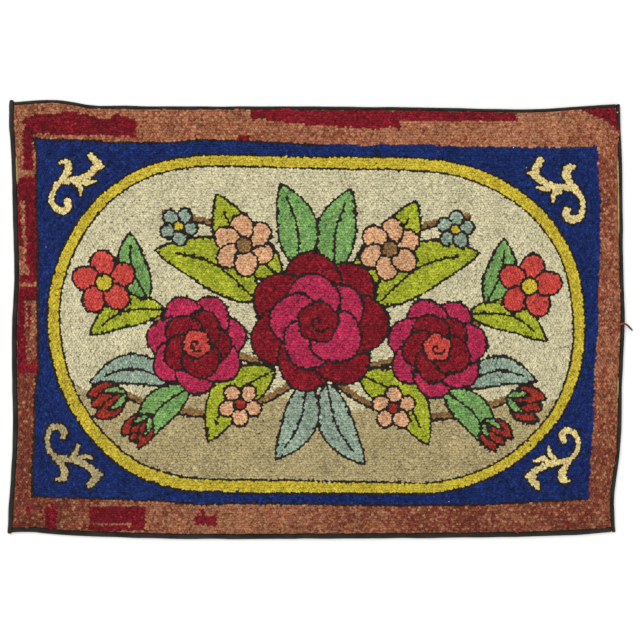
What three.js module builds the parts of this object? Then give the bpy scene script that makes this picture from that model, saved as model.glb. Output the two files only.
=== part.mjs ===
// Hand-hooked rug lying face up: a burlap foundation filled with yarn loops, its four
// edges bound with lengths of cotton tape, and one yarn end that has worked loose.
// Millimetres, +X along the rug, +Y across it, +Z up, with the underside on z = 0.
import * as THREE from "three";

// Driving dimensions
const PILE_TOP = 9.0; // underside of the foundation to the tips of the loops
const TAPE = 1.4; // thickness of the binding tape
const HEM = 22.0; // width of the tape turned under the rug
const ROLL_TOP = 6.6; // height of the tape where it rolls over the edge
const CORNER_ROUND = 1.8; // how much the outer corners are rubbed away
const GAP = 0.3; // clearance between neighbouring pieces
const STATION = 20.0; // spacing of the cross-sections along an edge
const CORNER_CLEAR = 34.0; // stretch next to a corner with no cross-section, for the mitred hems
const YARN_DIAMETER = 3.0;
const YARN_SIDES = 8;
const YARN_STEPS = 8;

// Hand-made edges: at is the place along the edge and out how far the bound edge lies from
// the rug's centre line there. width is how much of the tape shows from above.
const EDGES = {
  bottom: {
    width: 8.5,
    axis: "x",
    place: (at, out) => [at, -out],
    rows: [
      { at: -480, out: 335.0 },
      { at: -468, out: 331.8 },
      { at: -400, out: 336.5 },
      { at: -330, out: 339.6 },
      { at: -230, out: 342.5 },
      { at: 0, out: 342.6 },
      { at: 200, out: 341.2 },
      { at: 340, out: 339.0 },
      { at: 440, out: 334.5 },
      { at: 467, out: 331.0 },
    ],
  },
  right: {
    width: 6.5,
    axis: "y",
    place: (at, out) => [out, at],
    rows: [
      { at: -331, out: 467.0 },
      { at: -310, out: 467.0 },
      { at: -284, out: 465.4 },
      { at: -250, out: 468.6 },
      { at: -218, out: 473.4 },
      { at: -185, out: 476.4 },
      { at: -100, out: 478.2 },
      { at: 0, out: 482.4 },
      { at: 60, out: 480.4 },
      { at: 150, out: 479.4 },
      { at: 250, out: 477.8 },
      { at: 337, out: 474.7 },
    ],
  },
  top: {
    width: 5.5,
    axis: "x",
    place: (at, out) => [at, out],
    rows: [
      { at: -478, out: 342.6 },
      { at: -470, out: 339.8 },
      { at: -440, out: 342.2 },
      { at: -400, out: 342.6 },
      { at: -376, out: 339.4 },
      { at: -350, out: 334.4 },
      { at: -306, out: 334.6 },
      { at: -270, out: 333.4 },
      { at: -50, out: 333.2 },
      { at: 130, out: 331.8 },
      { at: 300, out: 328.9 },
      { at: 350, out: 328.8 },
      { at: 410, out: 333.0 },
      { at: 475, out: 336.6 },
    ],
  },
  left: {
    width: 8.0,
    axis: "y",
    place: (at, out) => [-out, at],
    rows: [
      { at: -335, out: 480.6 },
      { at: -314, out: 482.4 },
      { at: -282, out: 479.4 },
      { at: -235, out: 476.4 },
      { at: -160, out: 473.4 },
      { at: -95, out: 474.8 },
      { at: 0, out: 474.7 },
      { at: 62, out: 471.6 },
      { at: 140, out: 473.2 },
      { at: 220, out: 475.0 },
      { at: 280, out: 477.8 },
      { at: 326, out: 480.6 },
      { at: 343, out: 478.0 },
    ],
  },
};

// Profile of the hooked body from its underside over the rim to the top: inset is measured
// from where the pile stops, and the step at the start makes room for the hems.
const BODY_PROFILE = [
  { inset: HEM + GAP, z: 0 },
  { inset: HEM + GAP, z: TAPE + GAP },
  { inset: 0.8, z: TAPE + GAP },
  { inset: 0, z: 2.5 },
  { inset: 0, z: 5.2 },
  { inset: 0.7, z: 7.0 },
  { inset: 2.2, z: 8.3 },
  { inset: 4.2, z: 8.9 },
  { inset: 6.5, z: PILE_TOP },
];

// Cross-section of a binding: share is the place across the showing width, and the
// rows without one belong to the hem, by their distance in from the pile's edge.
const BINDING_PROFILE = [
  { hem: HEM, z: 0 },
  { hem: 0, z: 0 },
  { share: 0, z: 0 },
  { share: 0.8, z: 0 },
  { share: 1, z: 0.3 * ROLL_TOP },
  { share: 1, z: 0.6 * ROLL_TOP },
  { share: 0.8, z: 0.88 * ROLL_TOP },
  { share: 0.45, z: ROLL_TOP },
  { share: 0, z: 0.96 * ROLL_TOP },
  { share: 0, z: TAPE },
  { hem: 0, z: TAPE },
  { hem: HEM, z: TAPE },
];

// The loose end lies on the border, crosses the tape and drops to the floor.
const YARN_ROUTE = [
  { x: 468.0, y: -9.0, z: 10.85 },
  { x: 472.5, y: -7.6, z: 10.85 },
  { x: 477.0, y: -6.6, z: 10.6 },
  { x: 481.5, y: -6.6, z: 9.4 },
  { x: 485.5, y: -8.6, z: 7.2 },
  { x: 489.0, y: -11.6, z: 4.6 },
  { x: 492.2, y: -14.6, z: 2.6 },
  { x: 495.2, y: -17.6, z: 1.8 },
];

const WOOL = new THREE.MeshStandardMaterial({ color: 0xbfb794, roughness: 0.95, metalness: 0 });
const COTTON = new THREE.MeshStandardMaterial({ color: 0x2d2b26, roughness: 0.9, metalness: 0 });
const RUST = new THREE.MeshStandardMaterial({ color: 0x964632, roughness: 0.95, metalness: 0 });

// Edge curves: outer follows the table, inner is where the pile stops and the tape begins.
for (const edge of Object.values(EDGES)) {
  const places = edge.rows.map((row) => row.at);
  const reaches = edge.rows.map((row) => row.out);
  const curve = new THREE.CubicInterpolant(places, reaches, 1);
  edge.outer = (at) => curve.evaluate(at)[0];
  edge.inner = (at) => edge.outer(at) - edge.width;
}

const CORNERS = {
  bottomLeft: { upright: EDGES.left, level: EDGES.bottom, signX: -1, signY: -1 },
  bottomRight: { upright: EDGES.right, level: EDGES.bottom, signX: 1, signY: -1 },
  topRight: { upright: EDGES.right, level: EDGES.top, signX: 1, signY: 1 },
  topLeft: { upright: EDGES.left, level: EDGES.top, signX: -1, signY: 1 },
};
EDGES.bottom.corners = [CORNERS.bottomLeft, CORNERS.bottomRight];
EDGES.right.corners = [CORNERS.bottomRight, CORNERS.topRight];
EDGES.top.corners = [CORNERS.topLeft, CORNERS.topRight];
EDGES.left.corners = [CORNERS.bottomLeft, CORNERS.topLeft];

// Where two lines along the edges cross; reach gives a line's distance from the centre line.
function crossing({ upright, level, signX, signY }, reach) {
  let x = signX * reach(upright, 0);
  let y = signY * reach(level, 0);
  for (let pass = 0; pass < 8; pass += 1) {
    x = signX * reach(upright, y);
    y = signY * reach(level, x);
  }
  return { x, y };
}

// The two ends of a line along an edge, at the corners it shares with its neighbours.
function lineEnds(edge, reach) {
  return edge.corners.map((corner) => crossing(corner, reach)[edge.axis]);
}

// Cross-section places along an edge, and foot, the pile's edge as straight runs between
// them, which the body and its tape share.
for (const edge of Object.values(EDGES)) {
  edge.ends = lineEnds(edge, (line, at) => line.inner(at));
  const first = edge.ends[0] + CORNER_CLEAR;
  const last = edge.ends[1] - CORNER_CLEAR;
  const count = Math.round((last - first) / STATION);
  const share = (_, i) => THREE.MathUtils.lerp(first, last, i / count);
  edge.stations = Array.from({ length: count + 1 }, share);
  const nodes = [edge.ends[0], ...edge.stations, edge.ends[1]];
  const runs = new THREE.LinearInterpolant(nodes, nodes.map(edge.inner), 1);
  edge.foot = (at) => runs.evaluate(at)[0];
}

// A closed solid through rings of equal length. Its two end rings are filled patch by patch:
// patches lists the ring's points that bound each, and flat gives a ring's points in a plane.
function solidThroughRings(rings, patches, flat) {
  const size = rings[0].length;
  const indices = [];
  for (let low = 0; low < size * (rings.length - 1); low += size) {
    const high = low + size;
    for (let i = 0; i < size; i += 1) {
      const next = (i + 1) % size;
      indices.push(low + i, low + next, high + next);
      indices.push(low + i, high + next, high + i);
    }
  }
  const last = size * (rings.length - 1);
  for (const patch of patches) {
    const onPatch = (ring) => patch.map((i) => flat(ring)[i]);
    for (const [a, b, c] of THREE.ShapeUtils.triangulateShape(onPatch(rings[0]), [])) {
      indices.push(patch[c], patch[b], patch[a]);
    }
    for (const [a, b, c] of THREE.ShapeUtils.triangulateShape(onPatch(rings.at(-1)), [])) {
      indices.push(last + patch[a], last + patch[b], last + patch[c]);
    }
  }
  const geometry = new THREE.BufferGeometry().setFromPoints(rings.flat());
  geometry.setIndex(indices);
  geometry.computeVertexNormals();
  return geometry;
}

// One ring round the body, inset from where the pile stops, counter-clockwise from above.
function bodyRing({ inset, z }) {
  const reach = (edge, at) => edge.foot(at) - inset;
  const atCorner = (corner) => {
    const { x, y } = crossing(corner, reach);
    return new THREE.Vector3(x, y, z);
  };
  const alongEdge = (edge) =>
    edge.stations.map((at) => new THREE.Vector3(...edge.place(at, reach(edge, at)), z));
  return [
    atCorner(CORNERS.bottomLeft),
    ...alongEdge(EDGES.bottom),
    atCorner(CORNERS.bottomRight),
    ...alongEdge(EDGES.right),
    atCorner(CORNERS.topRight),
    ...alongEdge(EDGES.top).reverse(),
    atCorner(CORNERS.topLeft),
    ...alongEdge(EDGES.left).reverse(),
  ];
}

function hookedBody() {
  const rings = BODY_PROFILE.map(bodyRing);
  const fromAbove = (ring) => ring.map(({ x, y }) => new THREE.Vector2(x, y));
  return solidThroughRings(rings, [[...rings[0].keys()]], fromAbove);
}

// Where one profile point of a tape starts and ends, with a second place close to each end.
// The upright tapes run past the pile's corners to the level edges, the level tapes stop
// against them, and all hems are mitred.
function tapeEnds(edge, point, levels) {
  if (levels && point.hem === undefined) {
    const rub = CORNER_ROUND * point.share ** 3;
    const [x] = edge.place(0, edge.foot(edge.ends[0]) + point.share * edge.width);
    return [rub - levels[0].outer(x), ...edge.ends, levels[1].outer(x) - rub];
  }
  const depth = point.hem ?? 0;
  const [low, high] = lineEnds(edge, (line, at) => line.foot(at) - depth);
  return [low + GAP, low + GAP + 1, high - GAP - 1, high - GAP];
}

// A length of tape along one edge; levels are the edges that an upright tape runs to.
function binding(edge, levels) {
  const lines = BINDING_PROFILE.map((point) => {
    const ends = tapeEnds(edge, point, levels);
    return [...ends.slice(0, 2), ...edge.stations, ...ends.slice(2)].map((at) => {
      const foot = edge.foot(at);
      const across = foot + GAP + point.share * (edge.outer(at) - foot - GAP);
      const [x, y] = edge.place(at, point.hem === undefined ? across : foot - point.hem);
      return new THREE.Vector3(x, y, point.z);
    });
  });
  const rings = lines[0].map((_, i) => lines.map((line) => line[i]));
  const section = BINDING_PROFILE.map(({ hem, share, z }) => {
    const across = hem === undefined ? GAP + share * (edge.width - GAP) : -hem;
    return new THREE.Vector2(across, z);
  });
  const last = BINDING_PROFILE.length - 1;
  const hem = [0, 1, last - 1, last];
  const fold = [1, 2, last - 2, last - 1];
  const roll = [...BINDING_PROFILE.keys()].slice(2, last - 1);
  return solidThroughRings(rings, [hem, fold, roll], () => section);
}

function looseYarnEnd() {
  const route = YARN_ROUTE.map(({ x, y, z }) => new THREE.Vector3(x, y, z));
  const section = new THREE.Shape();
  for (let i = 0; i < YARN_SIDES; i += 1) {
    const turn = (2 * Math.PI * i) / YARN_SIDES;
    const x = 0.5 * YARN_DIAMETER * Math.cos(turn);
    const y = 0.5 * YARN_DIAMETER * Math.sin(turn);
    if (i === 0) {
      section.moveTo(x, y);
    } else {
      section.lineTo(x, y);
    }
  }
  section.closePath();
  const path = new THREE.CatmullRomCurve3(route);
  return new THREE.ExtrudeGeometry(section, { steps: YARN_STEPS, extrudePath: path });
}

// Turns the faces of a solid over where its rings run clockwise.
function facingOut(geometry) {
  const position = geometry.getAttribute("position");
  const index = geometry.getIndex();
  const corners = [0, 1, 2].map(() => new THREE.Vector3());
  let volume = 0;
  for (let i = 0; i < index.count; i += 3) {
    corners.forEach((corner, k) => corner.fromBufferAttribute(position, index.getX(i + k)));
    volume += corners[0].dot(corners[1].cross(corners[2]));
  }
  if (volume < 0) {
    index.array.reverse();
    geometry.computeVertexNormals();
  }
  return geometry;
}

function piece(name, geometry, material) {
  const mesh = new THREE.Mesh(geometry, material.clone());
  mesh.name = name;
  return mesh;
}

const levels = [EDGES.bottom, EDGES.top];
const rug = new THREE.Group();
rug.name = "hooked_rug";
rug.add(piece("rug_body", facingOut(hookedBody()), WOOL));
rug.add(piece("binding_bottom", facingOut(binding(EDGES.bottom)), COTTON));
rug.add(piece("binding_right", facingOut(binding(EDGES.right, levels)), COTTON));
rug.add(piece("binding_top", facingOut(binding(EDGES.top)), COTTON));
rug.add(piece("binding_left", facingOut(binding(EDGES.left, levels)), COTTON));
rug.add(piece("loose_yarn_end", looseYarnEnd(), RUST));

export default rug;
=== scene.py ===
"""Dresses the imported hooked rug: burlap, yarn loops hooked row by row, tape binding, a loose end."""

import functools
import math
from typing import NamedTuple

import bpy
import numpy as np
from mathutils.kdtree import KDTree
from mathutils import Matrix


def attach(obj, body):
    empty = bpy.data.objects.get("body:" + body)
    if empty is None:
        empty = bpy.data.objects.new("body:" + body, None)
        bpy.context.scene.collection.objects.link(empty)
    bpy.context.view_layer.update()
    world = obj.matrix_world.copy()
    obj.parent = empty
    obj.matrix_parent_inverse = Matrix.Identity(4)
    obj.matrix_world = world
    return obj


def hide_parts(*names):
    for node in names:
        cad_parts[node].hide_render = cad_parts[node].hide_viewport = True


bl_info = {
    "name": "Hooked Rug",
    "version": (1, 0, 0),
    "blender": (4, 5, 0),
    "location": "View3D > Sidebar > Rug",
    "description": "Hooks a rug's pile loop by loop and binds its edge with tape",
    "category": "Object",
}

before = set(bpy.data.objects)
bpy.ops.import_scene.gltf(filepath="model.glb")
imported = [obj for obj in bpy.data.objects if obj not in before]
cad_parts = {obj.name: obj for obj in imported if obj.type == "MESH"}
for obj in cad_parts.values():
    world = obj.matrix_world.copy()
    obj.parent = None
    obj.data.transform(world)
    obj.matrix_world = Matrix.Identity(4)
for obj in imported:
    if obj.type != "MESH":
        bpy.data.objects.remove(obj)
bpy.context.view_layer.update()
MM = 0.001
SEED = 27


# Sizes and colours that a user would change


def dyed(red, green, blue):
    """A colour given in screen values from 0 to 255, in the linear values that shaders use."""
    screen = np.array((red, green, blue)) / 255.0
    linear = np.where(screen <= 0.04045, screen / 12.92, ((screen + 0.055) / 1.055) ** 2.4)
    return tuple(float(value) for value in linear)


def colour_property(name, description, *screen):
    return bpy.props.FloatVectorProperty(
        name=name,
        description=description,
        subtype="COLOR",
        size=3,
        min=0.0,
        max=1.0,
        default=dyed(*screen),
    )


def length_property(name, description, millimetres):
    return bpy.props.FloatProperty(
        name=name,
        description=description,
        subtype="DISTANCE",
        unit="LENGTH",
        min=0.0,
        precision=4,
        default=millimetres * MM,
    )


class RugYarns(bpy.types.PropertyGroup):
    """Dye colours of the hooking yarns."""

    cream: colour_property("Cream", "Ground of the oval", 205, 197, 160)
    wheat: colour_property("Wheat", "Lower ground of the oval", 174, 158, 112)
    blue: colour_property("Blue", "Field round the oval", 18, 38, 97)
    rust: colour_property("Rust", "Heathered border", 155, 96, 65)
    crimson: colour_property("Crimson", "Patches in the border and rose petals", 126, 18, 31)
    raspberry: colour_property("Raspberry", "Petals", 178, 40, 78)
    yellow: colour_property("Yellow", "Oval ring", 195, 175, 50)
    straw: colour_property("Straw", "Corner scrolls", 223, 205, 142)
    dark: colour_property("Black brown", "Single rows that outline the motifs", 34, 27, 24)
    lime: colour_property("Lime", "Large leaves", 164, 170, 38)
    green: colour_property("Green", "Small leaves", 118, 161, 90)
    teal: colour_property("Teal", "Leaves and small flowers", 145, 163, 143)
    brick: colour_property("Brick", "Buds", 153, 49, 34)
    coral: colour_property("Coral", "Flowers", 200, 72, 64)
    peach: colour_property("Peach", "Flowers", 214, 166, 124)
    camel: colour_property("Camel", "Stems and flower centres", 138, 104, 62)


class RugSizes(bpy.types.PropertyGroup):
    """Sizes of the loops, the tape and the drawing."""

    pitch: length_property("Loop pitch", "Distance between neighbouring loops", 4.05)
    yarn_width: length_property("Yarn width", "Width of a loop across its row", 5.2)
    loop_length: length_property("Loop length", "Length of a loop along its row", 5.7)
    loop_height: length_property("Loop height", "Height of a loop's rounded top", 2.0)
    pile_top: length_property("Pile top", "Usual height of the loops above the floor", 8.6)
    burlap: length_property("Burlap thickness", "Thickness of the foundation", 1.5)
    ring_width: length_property("Ring width", "Width of the yellow oval ring", 15.6)
    stitch_gap: length_property("Stitch gap", "Distance between the hem's stitches", 9.0)
    thread: length_property("Thread", "Thickness of the sewing thread", 0.6)


class RugStage(bpy.types.PropertyGroup):
    """Floor, light and camera."""

    floor: colour_property("Floor", "Pale floor that the rug lies on", 250, 250, 248)
    frame_width: length_property("Frame width", "Width of floor that the camera sees", 1001.2)
    lens: bpy.props.FloatProperty(
        name="Lens", description="Focal length in millimetres", default=90.0, min=20.0
    )
    sky: bpy.props.FloatProperty(
        name="Sky", description="Strength of the even light all round", default=1.08, min=0.0
    )
    key: bpy.props.FloatProperty(
        name="Key light", description="Power of the large soft light", default=24.0, min=0.0, unit="POWER"
    )


def sizes():
    return bpy.context.scene.rug_sizes


# Yarns


class Yarn(NamedTuple):
    """How a yarn is dyed: heather is the share of loops that lean to a deep or a pale second colour."""

    deep: tuple
    pale: tuple
    heather: float
    spread: float  # how much neighbouring loops differ in lightness
    drift: float  # how much the dye changes over a hand's breadth
    fade: float = 0.0  # how much paler it is towards the rug's upper right than in the middle


YARNS = {
    "cream": Yarn(dyed(180, 170, 132), dyed(216, 208, 174), 0.25, 0.05, 0.05),
    "wheat": Yarn(dyed(148, 135, 102), dyed(190, 176, 132), 0.30, 0.06, 0.07),
    "blue": Yarn(dyed(14, 31, 80), dyed(28, 52, 106), 0.40, 0.24, 0.10),
    "rust": Yarn(dyed(114, 43, 34), dyed(175, 125, 93), 0.60, 0.13, 0.10, 0.10),
    "crimson": Yarn(dyed(94, 9, 21), dyed(150, 34, 44), 0.42, 0.14, 0.08),
    "raspberry": Yarn(dyed(146, 30, 66), dyed(192, 56, 88), 0.35, 0.14, 0.10),
    "yellow": Yarn(dyed(181, 154, 39), dyed(212, 194, 66), 0.30, 0.08, 0.07, 0.035),
    "straw": Yarn(dyed(194, 164, 98), dyed(226, 208, 148), 0.30, 0.06, 0.05),
    "dark": Yarn(dyed(55, 37, 27), dyed(44, 42, 40), 0.35, 0.20, 0.15),
    "lime": Yarn(dyed(118, 141, 30), dyed(184, 186, 70), 0.35, 0.10, 0.12),
    "green": Yarn(dyed(86, 133, 72), dyed(150, 180, 110), 0.30, 0.10, 0.12),
    "teal": Yarn(dyed(112, 136, 126), dyed(166, 182, 160), 0.35, 0.10, 0.12),
    "brick": Yarn(dyed(120, 32, 25), dyed(172, 62, 44), 0.35, 0.10, 0.10),
    "coral": Yarn(dyed(176, 50, 48), dyed(214, 92, 78), 0.30, 0.10, 0.10),
    "peach": Yarn(dyed(190, 134, 96), dyed(222, 178, 138), 0.35, 0.08, 0.08),
    "camel": Yarn(dyed(104, 78, 50), dyed(158, 122, 76), 0.35, 0.12, 0.12),
}
YARN_NAMES = tuple(YARNS)
NUMBER = {name: number for number, name in enumerate(YARN_NAMES)}


# The rug's edges, read from the frame


class Edge(NamedTuple):
    """One side: foot is where the pile stops and outer the tape's edge, both from the centre line."""

    node: str
    axis: int  # 0 where the side runs along X, 1 where it runs along Y
    sign: float
    at: np.ndarray
    foot: np.ndarray
    outer: np.ndarray
    hem: tuple  # where the turned-under tape begins and ends along the side
    heights: np.ndarray  # the levels of the tape's cross-section

    def foot_at(self, at):
        return np.interp(at, self.at, self.foot)

    def outer_at(self, at):
        return np.interp(at, self.at, self.outer)

    def place(self, at, out, z):
        flat = (at, self.sign * out) if self.axis == 0 else (self.sign * out, at)
        return np.stack([*np.broadcast_arrays(*flat, z)], axis=-1)


OUTER_LEVEL, FOOT_LEVEL = 2, -2  # of the section's levels, those where it is widest and meets the pile
HEM_BEYOND = 15.0  # only the hem lies this far inside the foot


def node_points(node):
    """A CAD node's points in millimetres."""
    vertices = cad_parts[node].data.vertices
    points = np.empty(len(vertices) * 3)
    vertices.foreach_get("co", points)
    return points.reshape(-1, 3) / MM


@functools.lru_cache
def edges():
    found = {}
    for side, axis, sign in (("bottom", 0, -1), ("right", 1, 1), ("top", 0, 1), ("left", 1, -1)):
        node = f"binding_{side}"
        points = node_points(node)
        heights = np.unique(points[:, 2].round(2))
        along, out = points[:, axis], sign * points[:, 1 - axis]

        def line(level):
            row = np.isclose(points[:, 2], heights[level], atol=0.02)
            at, first = np.unique(along[row].round(2), return_index=True)
            return at, out[row][first]

        outer_at, outer = line(OUTER_LEVEL)
        foot_at, foot = line(FOOT_LEVEL)
        deep = out < np.interp(along, foot_at, foot) - HEM_BEYOND
        found[side] = Edge(
            node=node,
            axis=axis,
            sign=sign,
            at=foot_at,
            foot=foot,
            outer=np.interp(foot_at, outer_at, outer),
            hem=(along[deep].min(), along[deep].max()),
            heights=heights,
        )
    return found


def rim_distance(x, y):
    """How far places lie inside the edge of the pile."""
    side = edges()
    return np.minimum.reduce(
        [
            y + side["bottom"].foot_at(x),
            side["top"].foot_at(x) - y,
            x + side["left"].foot_at(y),
            side["right"].foot_at(y) - x,
        ]
    )


# Curves of the drawing, in millimetres from the rug's centre


def smooth(points, closed=False, step=0.8):
    """Points close together on a smooth curve through a few."""
    points = np.asarray(points, float)
    if closed:
        padded = np.concatenate([points[-1:], points, points[:2]])
    else:
        ends = 2 * points[[0, -1]] - points[[1, -2]]
        padded = np.concatenate([ends[:1], points, ends[1:]])
    pieces = []
    for a, b, c, d in zip(padded, padded[1:], padded[2:], padded[3:]):
        count = max(2, round(np.linalg.norm(c - b) / step))
        t = np.arange(count)[:, None] / count
        bend = (c - a) * t + (2 * a - 5 * b + 4 * c - d) * t**2 + (3 * b - a - 3 * c + d) * t**3
        pieces.append(b + 0.5 * bend)
    if not closed:
        pieces.append(points[-1:])
    return np.concatenate(pieces)


def dense(points, step=0.8):
    """The same line with points close together."""
    reach = np.concatenate([[0.0], np.cumsum(np.linalg.norm(np.diff(points, axis=0), axis=1))])
    at = np.linspace(0.0, reach[-1], math.ceil(reach[-1] / step) + 1)
    return np.stack([np.interp(at, reach, column) for column in np.transpose(points)], axis=1)


def walk(points, pitch):
    """Places a pitch apart along a line of points, and the line's direction there."""
    steps = np.linalg.norm(np.diff(points, axis=0), axis=1)
    reach = np.concatenate([[0.0], np.cumsum(steps)])
    at = np.linspace(0.0, reach[-1], max(2, round(reach[-1] / pitch) + 1))
    places = np.stack([np.interp(at, reach, points[:, k]) for k in (0, 1)], axis=1)
    ahead = np.stack([np.interp(at + 0.5, reach, points[:, k]) for k in (0, 1)], axis=1)
    behind = np.stack([np.interp(at - 0.5, reach, points[:, k]) for k in (0, 1)], axis=1)
    turn = np.arctan2(*(ahead - behind).T[::-1])
    return places, turn


def sideways(points, distance, closed=False):
    """The line moved to its left by a distance."""
    ahead = np.roll(points, -1, 0) - np.roll(points, 1, 0) if closed else np.gradient(points, axis=0)
    normal = np.stack([-ahead[:, 1], ahead[:, 0]], axis=1)
    normal /= np.maximum(np.linalg.norm(normal, axis=1, keepdims=True), 1e-6)
    return points + normal * np.reshape(distance, (-1, 1))


def box(left, right, low, high):
    return np.array([(left, low), (right, low), (right, high), (left, high)], float)


def leaf_outline(base, tip, width, bend):
    """A pointed leaf on a bent midrib; returns its outline and the midrib."""
    base, tip = np.asarray(base, float), np.asarray(tip, float)
    along = tip - base
    normal = np.array([-along[1], along[0]])
    middle = base + 0.5 * along + bend * normal
    midrib = smooth([base, middle, tip], step=2.0)
    t = np.linspace(0.0, 1.0, len(midrib))
    half = 0.5 * width * np.sin(np.pi * t**0.85) ** 0.8
    outline = np.concatenate([sideways(midrib, half), sideways(midrib, -half)[::-1]])
    return outline, midrib[: round(0.82 * len(midrib))]


def round_outline(centre, radius, lobes=0, depth=0.0, turn=0.0, squash=1.0):
    """A disc, lobed and squashed; turn is the direction of its long axis."""
    angle = np.linspace(0.0, 2 * np.pi, 72, endpoint=False)
    reach = radius * (1 + depth * np.cos(lobes * angle))
    local = np.stack([reach * np.cos(angle), squash * reach * np.sin(angle)], axis=1)
    spin = np.array([[math.cos(turn), -math.sin(turn)], [math.sin(turn), math.cos(turn)]])
    return np.asarray(centre) + local @ spin.T


# The drawing on the burlap

FULL = 0.9  # weight of a usual outlining row, as a share of a loop's width


class Plan:
    """Which yarn fills each square millimetre, and the lines that get a single row of loops."""

    HALF_ROW = 2.3
    MARGIN = 3

    def __init__(self):
        side = edges()
        reach_x = max(side["left"].foot.max(), side["right"].foot.max())
        reach_y = max(side["bottom"].foot.max(), side["top"].foot.max())
        self.low = -np.ceil([reach_x, reach_y]) - self.MARGIN
        shape = (-2 * self.low[::-1]).astype(int) + 1
        self.yarn = np.full(shape, NUMBER["rust"])
        self.owner = np.zeros(shape, int)
        self.lines = []
        self.count = 0

    def cells(self, points):
        cell = np.rint(np.asarray(points) - self.low).astype(int)
        return (
            np.clip(cell[..., 1], 0, self.yarn.shape[0] - 1),
            np.clip(cell[..., 0], 0, self.yarn.shape[1] - 1),
        )

    def _paint(self, cells, yarn):
        self.yarn[cells] = NUMBER[yarn]
        self.owner[cells] = self.count

    def fill(self, polygon, yarn):
        """Fills a closed outline with one yarn."""
        polygon = np.asarray(polygon, float)
        left, low = np.floor(polygon.min(0)).astype(int)
        right, high = np.ceil(polygon.max(0)).astype(int)
        x, y = np.arange(left, right + 1), np.arange(low, high + 1)
        inside = np.zeros((len(y), len(x)), bool)
        for (ax, ay), (bx, by) in zip(polygon, np.roll(polygon, -1, axis=0)):
            rows = (y >= min(ay, by)) & (y < max(ay, by))
            if rows.any():
                crossing = ax + (y[rows] - ay) * (bx - ax) / (by - ay)
                inside[rows] ^= x > crossing[:, None]
        row, column = np.nonzero(inside)
        self.count += 1
        self._paint(self.cells(np.stack([x[column], y[row]], axis=1)), yarn)

    def brush(self, points, widths, yarn):
        """Fills a stroke whose width changes along its line."""
        self.count += 1
        for point, width in zip(points, widths):
            reach = np.arange(-math.ceil(width / 2), math.ceil(width / 2) + 1)
            dx, dy = np.meshgrid(reach, reach)
            disc = dx**2 + dy**2 <= (width / 2) ** 2
            self._paint(self.cells(point + np.stack([dx[disc], dy[disc]], axis=1)), yarn)

    def line(self, points, weight=FULL, yarn="dark"):
        """Keeps a band for one row of loops along a line."""
        points = dense(points)
        self.brush(points, np.full(len(points), 2 * weight * self.HALF_ROW), yarn)
        self.lines.append((points, weight, NUMBER[yarn], self.count))

    def shape(self, outline, yarn):
        """A filled motif with a single row round it."""
        self.fill(outline, yarn)
        self.line(np.concatenate([outline, outline[:1]]))

    def at(self, x, y):
        return self.yarn[self.cells(np.stack([x, y], axis=-1))]


# The blue field's edge, from its upper left corner round to the left side
FIELD = np.array(
    [
        (-440, 281), (-368, 280), (-322, 276), (-228, 276), (-181, 280), (-90, 277), (6, 272),
        (76, 269), (147, 271), (256, 267), (381, 266), (424, 267), (437, 269),
        (437, 232), (441, 200), (441, 108), (438, 46), (438, -16), (432, -80), (431, -165), (426, -210),
        (423, -280), (256, -289), (100, -290), (6, -288), (-134, -287), (-181, -289), (-244, -283),
        (-322, -280), (-415, -277), (-442, -275),
        (-442, -240), (-439, -172), (-439, -120), (-433, -79), (-434, -16), (-434, 110), (-436, 200),
        (-435, 262),
    ],
    float,
)


class FieldOutline(NamedTuple):
    """A row of loops along the field's edge, from one place in its table to another."""

    first: int
    last: int
    weight: float
    yarn: str


FIELD_OUTLINES = (
    FieldOutline(6, 21, FULL, "blue"),
    FieldOutline(0, 6, 0.7, "dark"),
    FieldOutline(21, 30, 0.75, "dark"),
    FieldOutline(30, 39, 1.15, "dark"),
)

# Where the border was hooked with crimson left-overs
CRIMSON_BANDS = (
    [(-459, 310), (-437, 319), (-381, 324), (-326, 312), (-311, 320), (-280, 312), (-281, 285), (-442, 290)],
    [
        (-102, 330), (131, 329), (131, 296), (114, 301), (96, 296), (60, 300), (3, 302), (-52, 308),
        (-92, 314), (-102, 310),
    ],
    [(404, 332), (430, 320), (453, 310), (467, 299), (476, 285), (486, 282), (486, 342), (404, 342)],
)
CRIMSON_BLOCKS = (
    box(-458, -442, 235, 300),
    box(-469, -435, -82, 222),
    box(131, 312, 310, 327),
    box(-123, -103, 279, 288),
    box(-422, -404, -329, -290),
    box(-354, -266, -329, -291),
    box(-454, -446, -301, -291),
    box(-190, -155, -319, -304),
    box(-181, -173, -303, -294),
)
# Rust loops within the crimson ones
RUST_AGAIN = (
    [(-463, 187), (-455, 187), (-451, 112), (-457, 112)],
    [(-464, 114), (-453, 112), (-453, 86), (-447, 80), (-447, 70), (-463, 70)],
    box(-466, -437, 51, 59),
    box(-455, -437, 21, 30),
    box(-446, -437, -68, 30),
    box(-455, -450, -28, 21),
    box(-452, -437, -68, -14),
    box(-350, -290, -322, -317),
)

# The middle of the oval's ring, drawn by hand and so a little uneven
OVAL_POINTS = (
    (28, -262), (108, -263), (189, -262), (265, -241), (330, -198), (381, -137), (407, -61),
    (409, 18), (392, 96), (349, 162), (286, 209), (215, 235), (136, 243), (55, 244),
    (-25, 245), (-105, 247), (-185, 247), (-264, 230), (-331, 187), (-379, 122), (-406, 46),
    (-407, -34), (-386, -111), (-345, -177), (-286, -229), (-212, -255), (-133, -260), (-52, -261),
)
OVAL_CENTRE = np.array((1.6, -8.0))
OVAL_STEP = 4.0
RING_SWELL = 0.09  # the ring is widest at the upper right and lower left


def oval_line(offset):
    """The oval's line, moved outwards by an offset that swells a little twice round."""
    line = smooth(OVAL_POINTS, closed=True, step=OVAL_STEP)
    x, y = (line - OVAL_CENTRE).T
    offset = offset * (1 + RING_SWELL * np.sin(2 * np.arctan2(y, x)))
    ring = sideways(line, -offset, closed=True)
    return np.concatenate([ring, ring[:1]])


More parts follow.
